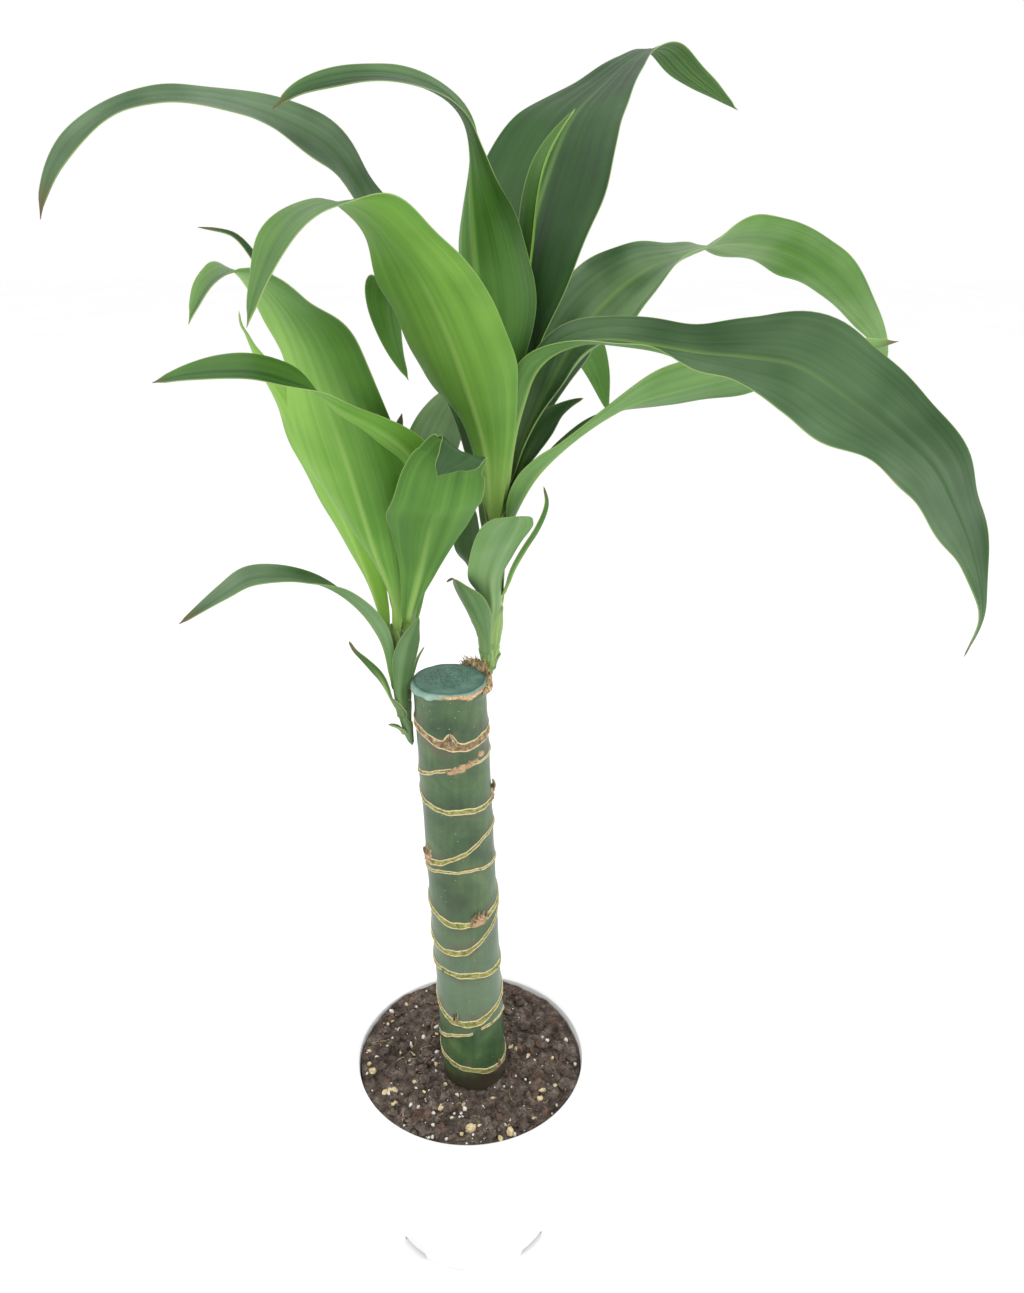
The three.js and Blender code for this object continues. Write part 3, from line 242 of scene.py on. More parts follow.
LEFT_LEAVES = [
    dict(name="left_leaf_broad", heading=222, foot=(218, 340),
         looks=(0.66, 0.45, 0.8, 0, 0.05),
         spine=[(-29, -7, 359), (-34.5, -14, 383), (-39, -21, 404), (-44.5, -32, 433),
                (-51.5, -46, 467), (-59.5, -60, 484.5), (-66, -70, 491), (-70.5, -76, 492),
                (-75, -80, 489), (-78, -84, 483), (-80, -86, 478)],
         half_widths=[(0, 2.8), (0.08, 4.5), (0.15, 9.5), (0.22, 15), (0.3, 19.5),
                      (0.45, 20.5), (0.58, 20.5), (0.7, 20), (0.82, 14.5), (0.9, 8.5), (1, 0.5)],
         twist=[(0, 0), (0.15, 8), (0.4, 35), (0.6, 15), (0.8, 0), (1, 0)],
         channel=[(0, 55), (0.2, 65), (0.5, 30), (1, 10)]),
    dict(name="left_leaf_broad_under", heading=213, foot=(180, 331),
         looks=(1.1, 0, 0.6, 0, 0),
         spine=[(-38.5, 1, 365), (-52, 0, 403), (-61.5, -5, 430), (-69, -11, 448),
                (-74, -20, 462), (-75, -26, 468), (-76, -29, 471), (-76, -30, 476)],
         half_widths=[(0, 2.8), (0.2, 6), (0.45, 14), (0.65, 13), (0.8, 7), (0.9, 2),
                      (1, 0.5)],
         twist=[(0, 0), (0.3, 25), (0.6, 20), (1, 0)],
         channel=[(0, 55), (0.2, 55), (0.5, 30), (1, 10)]),
    dict(name="left_leaf_crossing", heading=192, foot=(285, 353),
         looks=(0.66, 0.15, 0.5, 0.02, 0),
         spine=[(-15.5, -13, 384), (-13, -29, 411), (-18, -38, 427), (-29, -45, 438),
                (-40, -52, 446), (-49, -57, 454), (-56, -59, 458), (-66, -59, 461), (-77, -57, 461),
                (-90, -54, 459), (-103, -50, 455)],
         half_widths=[(0, 2.5), (0.2, 6.5), (0.4, 8), (0.5, 7), (0.6, 4.5), (0.68, 5),
                      (0.75, 6.5), (0.88, 5), (1, 0.5)],
         twist=[(0, 60), (0.45, 50), (0.6, 45), (0.66, 20), (0.72, -20), (0.8, -30), (1, -40)],
         channel=[(0, 50), (0.3, 50), (0.6, 20), (1, 10)]),
    dict(name="left_leaf_front_cupped", heading=276, foot=(290, 347),
         looks=(0.22, 0, 0.6, 0, 0.05), drawn_down=13, folded=True,
         spine=[(-22, -13.5, 357), (-17.5, -21.5, 376), (-12.5, -33, 398), (-9, -45, 410),
                (-6, -51, 423), (-3.5, -53, 428.5), (-1, -55.5, 432.5), (-0.5, -59, 433.5),
                (-3, -60, 431), (-6, -59, 428), (-9, -57.5, 424)],
         half_widths=[(0, 2.6), (0.12, 4), (0.2, 6.2), (0.3, 9.2), (0.4, 13.6),
                      (0.52, 16.8), (0.66, 16.2), (0.76, 14.8), (0.83, 11.6), (0.88, 9.3), (0.94, 5.2),
                      (1, 0.5)],
         twist=[(0, 0), (0.6, 0), (0.8, 0), (0.87, -28), (0.92, -6), (1, 0)],
         channel=[(0, 55), (0.2, 55), (0.5, 30), (0.75, 14), (1, 6)]),
    dict(name="left_leaf_low_thin", heading=197, foot=(205, 322),
         looks=(0.3, 0, 0.5, 0.05, 0.6), drawn_down=6,
         spine=[(-33.6, -5.6, 338), (-37.5, -8.8, 349.5), (-43.5, -11.5, 359), (-52, -14, 367),
                (-62, -16, 372), (-72, -19, 375), (-84, -21, 375), (-93, -23, 370), (-103, -26, 364),
                (-111, -29, 359)],
         half_widths=[(0, 2.6), (0.12, 4.2), (0.25, 6.2), (0.38, 5.6), (0.5, 4.6),
                      (0.75, 5), (1, 0.5)],
         twist=[(0, 20), (0.4, 20), (0.55, -20), (1, -40)],
         channel=[(0, 45), (0.3, 45), (1, 15)]),
    dict(name="left_leaf_sheath", heading=280, foot=(270, 312),
         looks=(0.15, 0, 0.1, 0, 0.7), drawn_down=9,
         spine=[(-26.9, -6.9, 322), (-25, -9.4, 333.5), (-22.2, -11.4, 343.5),
                (-18.6, -11.8, 353.5)],
         half_widths=[(0, 3), (0.2, 3.8), (0.5, 5.4), (0.75, 4.2), (0.9, 1.8), (1, 0.5)],
         channel=[(0, 60), (0.3, 50), (0.6, 40), (1, 20)]),
    dict(name="left_leaf_whisker", heading=200, foot=(195, 306),
         looks=(0, 0, 0, 0.12, 0.3),
         spine=[(-36, -4, 322), (-42, -7, 332), (-46, -8, 337), (-48, -9, 342)],
         half_widths=[(0, 2.2), (0.5, 2.2), (1, 0.5)],
         twist=[(0, 0), (0.3, 50), (1, 60)],
         channel=[(0, 30), (1, 30)]),
    dict(name="left_leaf_small_back", heading=350, foot=(352, 345),
         looks=(0.4, 0, 0.1, 0.05, 0),
         spine=[(-17.5, 1, 357), (-14, 2, 367)],
         half_widths=[(0, 2.5), (0.5, 3.5), (1, 0.5)],
         channel=[(0, 35), (1, 20)]),
    dict(name="left_leaf_dark_tip", heading=100, foot=(115, 352),
         looks=(0.1, 0, 0.3, 0.04, 0),
         spine=[(-25, 8, 375), (-25, 12, 397), (-26, 15, 421), (-24, 17, 431)],
         half_widths=[(0, 3), (0.5, 6), (0.8, 4), (1, 0.5)],
         channel=[(0, 50), (0.5, 40), (1, 20)]),
    dict(name="left_leaf_rear_long", heading=170, foot=(150, 347),
         looks=(0.2, 0, 0.4, 0.03, 0.1),
         spine=[(-34, 11, 378), (-40, 13, 403), (-55, 12, 446), (-68, 11, 476), (-77, 12, 491),
                (-83, 13, 498), (-89, 13, 500), (-97, 14, 501)],
         half_widths=[(0, 3), (0.1, 3.5), (0.3, 8), (0.6, 7), (0.8, 2.5), (1, 0.5)],
         twist=[(0, -20), (1, -40)],
         channel=[(0, 50), (0.3, 40), (1, 10)]),
    dict(name="left_leaf_rear_right", heading=75, foot=(70, 346),
         looks=(0.8, 0, 0.6, 0, 0.4),
         spine=[(-20, 14, 378), (-16.5, 23, 400), (-11, 35, 417), (-3, 50, 430), (8, 68, 436)],
         half_widths=[(0, 3), (0.15, 5), (0.3, 8.5), (0.6, 12), (0.8, 9), (1, 0.5)],
         channel=[(0, 50), (0.3, 40), (1, 15)]),
]


# ---- small tools ----------------------------------------------------------------------------

def smoothstep(x, low, high):
    t = np.clip((x - low) / (high - low), 0, 1)
    return t * t * (3 - 2 * t)


def blend(a, b, share):
    return a + (b - a) * share


def between(keys, s):
    """Values at s between (place, value) keys, with slopes taken from the neighbouring keys."""
    places = np.array([key[0] for key in keys], float)
    values = np.array([key[1] for key in keys], float)
    last = len(keys) - 1
    before = np.maximum(np.arange(last + 1) - 1, 0)
    after = np.minimum(np.arange(last + 1) + 1, last)
    slopes = (values[after] - values[before]) / (places[after] - places[before])
    i = np.clip(np.searchsorted(places, s) - 1, 0, last - 1)
    h = places[i + 1] - places[i]
    f = (s - places[i]) / h
    return ((2 * f**3 - 3 * f**2 + 1) * values[i] + (f**3 - 2 * f**2 + f) * h * slopes[i]
            + (3 * f**2 - 2 * f**3) * values[i + 1] + (f**3 - f**2) * h * slopes[i + 1])


def roughness(points, size, octaves, shift=0.0):
    """Smooth random heights at points; size is the distance between bumps, in mm."""
    offset = Vector((shift, 1.7 * shift, -shift))
    return np.array([noise.fractal(Vector(p) / size + offset, 0.9, 2.1, octaves) for p in points])


def named(name):
    piece = bpy.context.object
    piece.name = name
    piece.data.name = name
    return piece


def deselect_all():
    bpy.ops.object.select_all(action="DESELECT")


def only(piece):
    deselect_all()
    bpy.context.view_layer.objects.active = piece
    piece.select_set(True)


def modified(piece, kind, **settings):
    only(piece)
    modifier = piece.modifiers.new(kind, kind)
    for setting, value in settings.items():
        setattr(modifier, setting, value)
    bpy.ops.object.modifier_apply(modifier=kind)


def closed_up(piece, crease):
    """Merges the seams and poles, turns the faces outwards and shades smoothly up to an angle."""
    only(piece)
    bpy.ops.object.mode_set(mode="EDIT")
    bpy.ops.mesh.select_all(action="SELECT")
    bpy.ops.mesh.remove_doubles(threshold=0.002 * MM)
    bpy.ops.mesh.normals_make_consistent(inside=False)
    bpy.ops.object.mode_set(mode="OBJECT")
    bpy.ops.object.shade_smooth_by_angle(angle=math.radians(crease))


def shaped_grid(name, columns, rows, shape):
    """A grid wrapped into a solid. shape(column, share) gives the points in mm and the named
    values that the finish reads; column counts from 0 to columns, share runs from 0 to 1."""
    deselect_all()
    bpy.ops.mesh.primitive_grid_add(x_subdivisions=columns, y_subdivisions=rows, size=2)
    piece = named(name)
    mesh = piece.data
    flat = np.empty(len(mesh.vertices) * 3)
    mesh.vertices.foreach_get("co", flat)
    flat = flat.reshape(-1, 3)
    column = np.rint((flat[:, 0] + 1) / 2 * columns).astype(int)
    share = (flat[:, 1] + 1) / 2
    points, values = shape(column, share)
    mesh.vertices.foreach_set("co", (points * MM).ravel())
    for value_name, value in values.items():
        kind = "FLOAT_VECTOR" if value.ndim == 2 else "FLOAT"
        field = "vector" if value.ndim == 2 else "value"
        attribute = mesh.attributes.new(value_name, kind, "POINT")
        attribute.data.foreach_set(field, np.ascontiguousarray(value, np.float32).ravel())
    mesh.update()
    return piece


def pulled_round(name, sides, rows, shape, crease):
    """A closed tube. shape(angle, share) gives the points round it and along it."""
    tube = shaped_grid(name, sides, rows, lambda column, share: shape(TURN * column / sides, share))
    closed_up(tube, crease)
    return tube


def not_at_ends(share):
    """0 at a tube's two ends, which close to a point there, and 1 between."""
    return np.where((share < 0.001) | (share > 0.999), 0, 1)


def round_about(x, y, radius, angle, z):
    """Points at a radius and a direction about x, y."""
    return np.stack([x + radius * np.cos(angle), y + radius * np.sin(angle), z], 1)


def pushed_out(points, distance, angle):
    """Moves points level, by a distance in the direction of an angle."""
    points[:, 0] += distance * np.cos(angle)
    points[:, 1] += distance * np.sin(angle)
    return points


def finished(piece, materials, replaces=()):
    for material in materials:
        piece.data.materials.append(material)
    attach(piece, "root")
    if replaces:
        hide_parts(*replaces)
    return piece


def joined(pieces, name):
    deselect_all()
    for piece in pieces:
        piece.select_set(True)
    bpy.context.view_layer.objects.active = pieces[0]
    bpy.ops.object.join()
    return named(name)


# ---- finishes -------------------------------------------------------------------------------

def paint(code):
    """A linear colour from its usual six-figure code."""
    parts = [int(code[i:i + 2], 16) / 255 for i in (0, 2, 4)]
    return [p / 12.92 if p <= 0.04045 else ((p + 0.055) / 1.055) ** 2.4 for p in parts] + [1]


class Finish:
    """A procedural material, made node by node."""

    def __init__(self, name, **sockets):
        self.material = bpy.data.materials.new(name)
        self.material.use_nodes = True
        self.nodes = self.material.node_tree.nodes
        self.links = self.material.node_tree.links
        self.shader = self.nodes["Principled BSDF"]
        for socket, value in sockets.items():
            self.shader.inputs[socket.replace("_", " ")].default_value = value

    def add(self, kind, output, inputs, **settings):
        made = self.nodes.new("ShaderNode" + kind)
        for setting, value in settings.items():
            setattr(made, setting, value)
        for socket, value in inputs.items():
            if isinstance(value, bpy.types.NodeSocket):
                self.links.new(value, made.inputs[socket])
            else:
                made.inputs[socket].default_value = value
        return made.outputs[output]

    def place(self):
        return self.add("TexCoord", "Object", {})

    def height(self):
        return self.add("SeparateXYZ", "Z", {0: self.place()})

    def value(self, name, part=None):
        if part is None:
            return self.add("Attribute", "Fac", {}, attribute_name=name)
        vector = self.add("Attribute", "Vector", {}, attribute_name=name)
        return self.add("SeparateXYZ", part, {0: vector})

    def vector(self, name):
        return self.add("Attribute", "Vector", {}, attribute_name=name)

    def stretched(self, vector, scale):
        return self.add("Mapping", "Vector", {"Vector": vector, "Scale": scale})

    def noise(self, vector, scale, detail=3, rough=0.55, warp=0.0):
        return self.add("TexNoise", "Fac", {"Vector": vector, "Scale": scale, "Detail": detail,
                                            "Roughness": rough, "Distortion": warp})

    def spots(self, vector, scale):
        return self.add("TexVoronoi", "Distance", {"Vector": vector, "Scale": scale})

    def ramp(self, factor, *stops):
        made = self.nodes.new("ShaderNodeValToRGB")
        elements = made.color_ramp.elements
        while len(elements) < len(stops):
            elements.new(0.5)
        for element, (position, colour) in zip(elements, stops):
            element.position = position
            element.color = paint(colour) if isinstance(colour, str) else [colour] * 3 + [1]
        self.links.new(factor, made.inputs[0])
        return made.outputs["Color"]

    def mask(self, value, low, high):
        """0 below low, 1 above high, smooth between; the other way round where low > high."""
        return self.add("MapRange", "Result", {"Value": value, "From Min": low, "From Max": high},
                        interpolation_type="SMOOTHSTEP")

    def math(self, operation, a, b):
        return self.add("Math", "Value", {0: a, 1: b}, operation=operation)

    def times(self, first, *others):
        for other in others:
            first = self.math("MULTIPLY", first, other)
        return first

    def weighted(self, *parts):
        """The sum of parts, each times its weight."""
        scaled = [self.times(part, weight) for part, weight in parts]
        total = scaled[0]
        for part in scaled[1:]:
            total = self.math("ADD", total, part)
        return total

    def laid(self, below, over, *masks):
        """One colour laid over another, as strongly as the masks multiplied together."""
        made = self.nodes.new("ShaderNodeMix")
        made.data_type = "RGBA"
        for socket, value in ((0, self.times(*masks)), (6, below), (7, over)):
            if isinstance(value, bpy.types.NodeSocket):
                self.links.new(value, made.inputs[socket])
            else:
                made.inputs[socket].default_value = paint(value) if isinstance(value, str) else value
        return made.outputs[2]

    def colour(self, socket):
        self.links.new(socket, self.shader.inputs["Base Color"])

    def rough(self, factor, low, high):
        level = self.add("MapRange", "Result", {"Value": factor, "To Min": low, "To Max": high})
        self.links.new(level, self.shader.inputs["Roughness"])

    def bumps(self, *layers):
        """Layers of fine relief: height, distance in mm."""
        normal = None
        for height, distance in layers:
            inputs = {"Height": height, "Distance": distance * MM, "Strength": 1.0}
            if normal:
                inputs["Normal"] = normal
            normal = self.add("Bump", "Normal", inputs)
        self.links.new(normal, self.shader.inputs["Normal"])


def leaf_side(name, dark, middle, light, pale, roughness_range, gloss):
    """One side of a leaf: soft bands, fine parallel veins, a pale foot and a thin pale edge."""
    leaf = Finish(name, Specular_IOR_Level=gloss)
    blade = leaf.vector("blade")
    bands = leaf.noise(leaf.stretched(blade, (0.3, 0.006, 1)), 1, 3, 0.55)
    veins = leaf.noise(leaf.stretched(blade, (2.6, 0.015, 3)), 1, 3, 0.6)
    patches = leaf.noise(leaf.place(), 26, 2)
    grey_sheen = leaf.value("grey_sheen")
    from_rib, from_edge, share = (leaf.value("place", part) for part in "XYZ")
    # The leaf's tone also holds painted shade that darkens it towards one edge.
    level = leaf.weighted((bands, 0.34), (leaf.value("tone_and_shade"), 0.42), (patches, 0.36), (veins, 0.1))
    colour = leaf.ramp(level, (0.34, dark), (0.6, middle), (0.88, light))
    # Painted sheen: a grey green laid over the leaf in patches, as strong as its grey sheen value.
    sheen_colour = leaf.ramp(level, (0.36, "50664a"), (0.6, "7c9474"), (0.85, "a3b596"))
    colour = leaf.laid(colour, sheen_colour, grey_sheen, leaf.mask(patches, 0.2, 0.6))
    colour = leaf.laid(colour, pale, leaf.mask(share, 0.2, 0.0), leaf.mask(grey_sheen, 0.3, 0.1), 0.5)
    colour = leaf.laid(colour, pale, leaf.mask(from_rib, 1.9, 0.1), leaf.mask(share, 0.75, 0.15),
                       leaf.mask(grey_sheen, 0.8, 0.3), 0.5)
    colour = leaf.laid(colour, "a3bb6c", leaf.mask(from_edge, 0.4, 0.1), 0.4)
    dried = leaf.ramp(veins, (0.3, "3a3524"), (0.7, "7c6a42"))
    leaf.colour(leaf.laid(colour, dried, leaf.value("dry")))
    leaf.rough(leaf.noise(leaf.place(), 160, 3), *roughness_range)
    leaf.bumps((veins, 0.05), (bands, 0.2))
    return leaf.material


def leaf_margin():
    margin = Finish("leaf_margin", Roughness=0.5)
    veins = margin.noise(margin.stretched(margin.vector("blade"), (1, 0.05, 3)), 1, 3)
    colour = margin.ramp(veins, (0.3, "6d8a45"), (0.7, "97ad68"))
    margin.colour(margin.laid(colour, "7c6a42", margin.value("dry")))
    return margin.material


def stem_skin(name, dark, middle, light):
    skin = Finish(name)
    fibres = skin.noise(skin.stretched(skin.place(), (900, 900, 60)), 1, 4)
    patches = skin.noise(skin.place(), 110, 3)
    colour = skin.ramp(fibres, (0.3, dark), (0.55, middle), (0.8, light))
    colour = skin.laid(colour, dark, skin.mask(patches, 0.5, 0.75))
    skin.colour(skin.laid(colour, "b3c486", skin.value("sheath_edge")))
    skin.rough(patches, 0.4, 0.6)
    skin.bumps((fibres, 0.1))
    return skin.material


def dry_bract():
    bract = Finish("dry_bract")
    veins = bract.noise(bract.stretched(bract.vector("blade"), (2, 0.03, 3)), 1, 3)
    dull = bract.ramp(veins, (0.3, "35492f"), (0.7, "5a7447"))
    fresh = bract.ramp(veins, (0.3, "6b8c45"), (0.7, "9dbd6b"))
    colour = bract.laid(dull, fresh, bract.value("tone_and_shade"))
    colour = bract.laid(colour, "4a4632", bract.mask(bract.value("place", "Z"), 0.75, 1.0), 0.7)
    colour = bract.laid(colour, "c3d29a", bract.mask(bract.value("place", "Y"), 0.5, 0.1), 0.5)
    bract.colour(colour)
    bract.rough(veins, 0.45, 0.65)
    bract.bumps((veins, 0.1))
    return bract.material


def cane_bark():
    """Glossy green bark with thin-edged leaf scars, dark stains and patches of loose brown bark.
    Heights are in metres, as in Object coordinates."""
    bark = Finish("cane_bark", Specular_IOR_Level=0.5)
    place = bark.place()
    streaks = bark.noise(bark.stretched(place, (420, 420, 22)), 1, 4, 0.6)
    patches = bark.noise(place, 55, 4, 0.6, 0.4)
    height = bark.height()
    from_line, band_half, loose = (bark.value("scar", part) for part in "XYZ")
    level = bark.weighted((streaks, 0.22), (patches, 0.8))
    green = bark.ramp(level, (0.3, "223820"), (0.46, "35502f"), (0.58, "466139"), (0.76, "62784b"))
    green = bark.laid(green, "748a70", bark.mask(height, 0.22, 0.16), bark.mask(height, 0.13, 0.15), 0.4)
    green = bark.laid(green, "56693a", bark.mask(bark.noise(place, 24, 3), 0.5, 0.75), 0.3)
    green = bark.laid(green, "a9b593", bark.mask(bark.spots(place, 260), 0.1, 0.05), 0.5)
    green = bark.laid(green, "554a40", bark.mask(from_line, 6, 1.5), bark.mask(patches, 0.42, 0.62), 0.7)
    grain = bark.noise(bark.stretched(place, (900, 900, 1500)), 1, 4, 0.7)
    coarse = bark.noise(place, 420, 4, 0.7)
    olive = bark.ramp(coarse, (0.32, "54582e"), (0.5, "868748"), (0.68, "b0ab6c"))
    tan = bark.ramp(coarse, (0.32, "4f3f2c"), (0.5, "93795a"), (0.66, "c9b48a"))
    olive = bark.laid(olive, tan, bark.mask(height, 0.288, 0.292))
    cream = bark.ramp(grain, (0.28, "b09a66"), (0.5, "d8c797"), (0.72, "efe5c4"))
    brown = bark.ramp(grain, (0.3, "8f6a45"), (0.5, "cba077"), (0.72, "f0dcb6"))
    off_edge = bark.times(bark.math("ABSOLUTE", bark.math("SUBTRACT", from_line, 1.0), 0), band_half)
    thin = bark.mask(off_edge, 0.42, 0.14)
    broken = bark.mask(coarse, 0.3, 0.42)
    colour = bark.laid(green, olive, bark.mask(from_line, 1.05, 0.9))
    colour = bark.laid(colour, cream, thin, broken)
    colour = bark.laid(colour, tan, bark.mask(loose, 0.0, 0.4))
    colour = bark.laid(colour, brown, bark.mask(loose, 0.6, 0.9))
    damp = bark.mask(bark.weighted((height, 1.0), (patches, 0.014)), 0.120, 0.112)
    bark.colour(bark.laid(colour, "3a3127", damp, 0.9))
    dull = bark.math("MAXIMUM", bark.mask(from_line, 1.3, 0.9), loose)
    bark.rough(bark.math("MAXIMUM", dull, bark.times(patches, 0.5)), 0.22, 0.85)
    bark.bumps((streaks, 0.08), (bark.times(coarse, dull), 0.5))
    return bark.material


def loose_bark(name, dark, middle, light):
    flakes = Finish(name, Roughness=0.9)
    place = flakes.place()
    grain = flakes.noise(flakes.stretched(place, (520, 520, 260)), 1, 5, 0.7)
    flakes.colour(flakes.ramp(grain, (0.36, dark), (0.5, middle), (0.66, light)))
    flakes.bumps((grain, 0.6))
    return flakes.material


def sealing_wax():
    """Dull teal wax: pores in the middle painted dark as shade in the pits, pale flecks there painted as
    highlights, a dark rim and pale smeared sides.
    """
    wax = Finish("sealing_wax", Specular_IOR_Level=0.4)
    place = wax.place()
    clouds = wax.noise(place, 150, 4, 0.6)
    pores = wax.mask(wax.spots(place, 1100), 0.34, 0.12)
    painted_glints = wax.mask(wax.spots(wax.stretched(place, (1, 1, 1.3)), 1500), 0.22, 0.1)
    middle = wax.value("middle")
    colour = wax.ramp(clouds, (0.3, "41665a"), (0.55, "587c6e"), (0.8, "7a9b8b"))
    # Painted shade: the pores in the middle are painted dark, as shade in the pits.
    colour = wax.laid(colour, "1f423c", pores, middle)
    # Painted highlights: pale flecks among the pores.
    colour = wax.laid(colour, "9fbcb0", painted_glints, middle, 0.5)
    smear = wax.ramp(clouds, (0.35, "74958a"), (0.55, "8eac9e"), (0.75, "aec5b4"))
    colour = wax.laid(colour, smear, wax.value("side"))
    wax.colour(wax.laid(colour, "33564a", wax.value("brim"), 0.65))
    wax.rough(clouds, 0.45, 0.7)
    wax.bumps((wax.times(pores, middle), -0.35), (wax.noise(place, 900, 3), 0.15))
    return wax.material


def pot_plastic():
    """White plastic, dusty by its foot, with painted shade in grey underneath."""
    plastic = Finish("pot_plastic", Specular_IOR_Level=0.45)
    place = plastic.place()
    haze = plastic.noise(place, 25, 3)
    grain = plastic.noise(place, 1400, 2)
    colour = plastic.ramp(haze, (0.3, "eceded"), (0.7, "f6f6f4"))
    height = plastic.height()
    dust = plastic.mask(height, 0.008, 0.0)
    colour = plastic.laid(colour, "d5d0c6", dust, plastic.mask(haze, 0.4, 0.8), 0.3)
    colour = plastic.laid(colour, "c6c6b2", plastic.mask(height, 0.0008, 0.0002))
    # Painted shade: under the floor and inside the foot ring the plastic is painted grey, as if shaded.
    out = plastic.add("VectorMath", "Value", {0: plastic.stretched(place, (1, 1, 0))},
                      operation="LENGTH")
    under = plastic.mask(height, (POT["foot"] + 0.8) * MM, (POT["foot"] + 0.2) * MM)
    inside = plastic.mask(out, (POT["base"] - 0.1) * MM, (POT["base"] - 0.7) * MM)
    plastic.colour(plastic.laid(colour, "9d9d9b", under, inside))
    plastic.rough(haze, 0.3, 0.42)
    plastic.bumps((grain, 0.02))
    return plastic.material


def peat(name, dark, middle, light):
    soil = Finish(name, Roughness=0.95, Specular_IOR_Level=0.25)
    place = soil.place()
    lumps = soil.noise(place, 190, 5, 0.65)
    fine = soil.noise(place, 1100, 4, 0.7)
    level = soil.weighted((lumps, 0.6), (fine, 0.4))
    soil.colour(soil.ramp(level, (0.34, dark), (0.52, middle), (0.7, light)))
    soil.bumps((lumps, 1.2), (fine, 0.5))
    return soil.material


def perlite(name, dark, light):
    grains = Finish(name, Roughness=0.85)
    fine = grains.noise(grains.place(), 900, 4, 0.7)
    grains.colour(grains.ramp(fine, (0.3, dark), (0.6, light)))
    grains.bumps((fine, 0.3))
    return grains.material


def studio_floor():
    floor = Finish("studio_floor", Roughness=0.95, Specular_IOR_Level=0.1)
    cloud = floor.noise(floor.place(), 3, 2)
    floor.colour(floor.ramp(cloud, (0.3, "fdfdfd"), (0.7, "ffffff")))
    return floor.material


# ---- leaves ---------------------------------------------------------------------------------

def stem_at(stem, z):
    axis = [between([(key[2], key[i]) for key in stem], z) for i in (0, 1, 3)]
    return axis[0], axis[1], axis[2]


def leaf_foot(stem, foot):
    """The point where a leaf is joined, just off the stem, and its distance from the stem's axis."""
    direction, height = math.radians(foot[0]), foot[1]
    x, y, radius = stem_at(stem, height)
    out = radius + 0.7
    return (x + out * math.cos(direction), y + out * math.sin(direction), height), out


def spine_curve(points, shares, ease=SOFT_BEND):
    """Points and unit tangents at shares of the length of a smooth curve, and its length. Its bends
    are eased over a few millimetres."""
    p = np.array(points, float)
    p = np.vstack([2 * p[0] - p[1], p, 2 * p[-1] - p[-2]])
    t = np.linspace(0, 1, 48, endpoint=False)[:, None]
    spans = []
    for a, b, c, d in zip(p[:-3], p[1:-2], p[2:-1], p[3:]):
        slope_b, slope_c = (c - a) / 2, (d - b) / 2
        spans.append((2 * t**3 - 3 * t**2 + 1) * b + (t**3 - 2 * t**2 + t) * slope_b
                     + (3 * t**2 - 2 * t**3) * c + (t**3 - t**2) * slope_c)
    line = np.vstack(spans + [p[-2:-1]])
    reach = np.concatenate([[0], np.cumsum(np.linalg.norm(np.diff(line, axis=0), axis=1))])
    even = np.linspace(0, reach[-1], 801)
    line = np.stack([np.interp(even, reach, line[:, i]) for i in range(3)], 1)
    width = max(2, int(round(ease / reach[-1] * 800)))
    kernel = np.hanning(2 * width + 1)[1:-1]
    kernel /= kernel.sum()
    padded = np.vstack([2 * line[0] - line[width - 1:0:-1], line,
                        2 * line[-1] - line[-2:-width - 1:-1]])
    line = np.stack([np.convolve(padded[:, i], kernel, "valid") for i in range(3)], 1)
    slope = np.gradient(line, axis=0)
    slope /= np.linalg.norm(slope, axis=1)[:, None]
    place = shares * 800
    at = [np.stack([np.interp(place, np.arange(801), part[:, i]) for i in range(3)], 1)
          for part in (line, slope)]
    return at[0], at[1] / np.linalg.norm(at[1], axis=1)[:, None], reach[-1]


def leaf_length(leaf, foot):
    return spine_curve([foot] + leaf["spine"], np.array([0.0, 1.0]))[2]


def widest(leaf):
    return max(width for _, width in leaf["half_widths"])


def section(columns):
    """Across a blade and back: the place across, -1 to 1, and the side, 1 above and -1 below."""
    n = columns // 2 - 1
    count = np.arange(columns + 1) % columns
    above = count <= n
    line = np.where(above, 2 * count / n - 1, 1 - 2 * (count - n - 1) / n)
    return np.sign(line) * np.abs(line) ** 1.2, np.where(above, 1, -1)


def drawn_down(leaf, stem):
    """The leaf with its foot moved down along the stem, where it ends as a sheath."""
    reach = leaf["drawn_down"]
    foot, _ = leaf_foot(stem, leaf["foot"])
    low, out = leaf_foot(stem, (leaf["foot"][0], leaf["foot"][1] - reach))
    share = reach / (leaf_length(leaf, foot) + reach)
    lower = dict(leaf, spine=[foot] + leaf["spine"])
    for key in ("half_widths", "twist", "channel"):
        first = leaf[key][0][1]
        lower[key] = [(0, first)] + [(share + (1 - share) * s, value) for s, value in leaf[key]]
    return lower, low, out


def blade_directions(heading, along, turn):
    """Unit directions across a blade to its left and out of its upper face."""
    level = np.array([-math.sin(heading), math.cos(heading), 0.0])
    sideways = level - along * (along @ level)[:, None]
    sideways /= np.linalg.norm(sideways, axis=1)[:, None]
    up = np.cross(along, sideways)
    cos, sin = np.cos(turn)[:, None], np.sin(turn)[:, None]
    return sideways * cos + up * sin, up * cos - sideways * sin


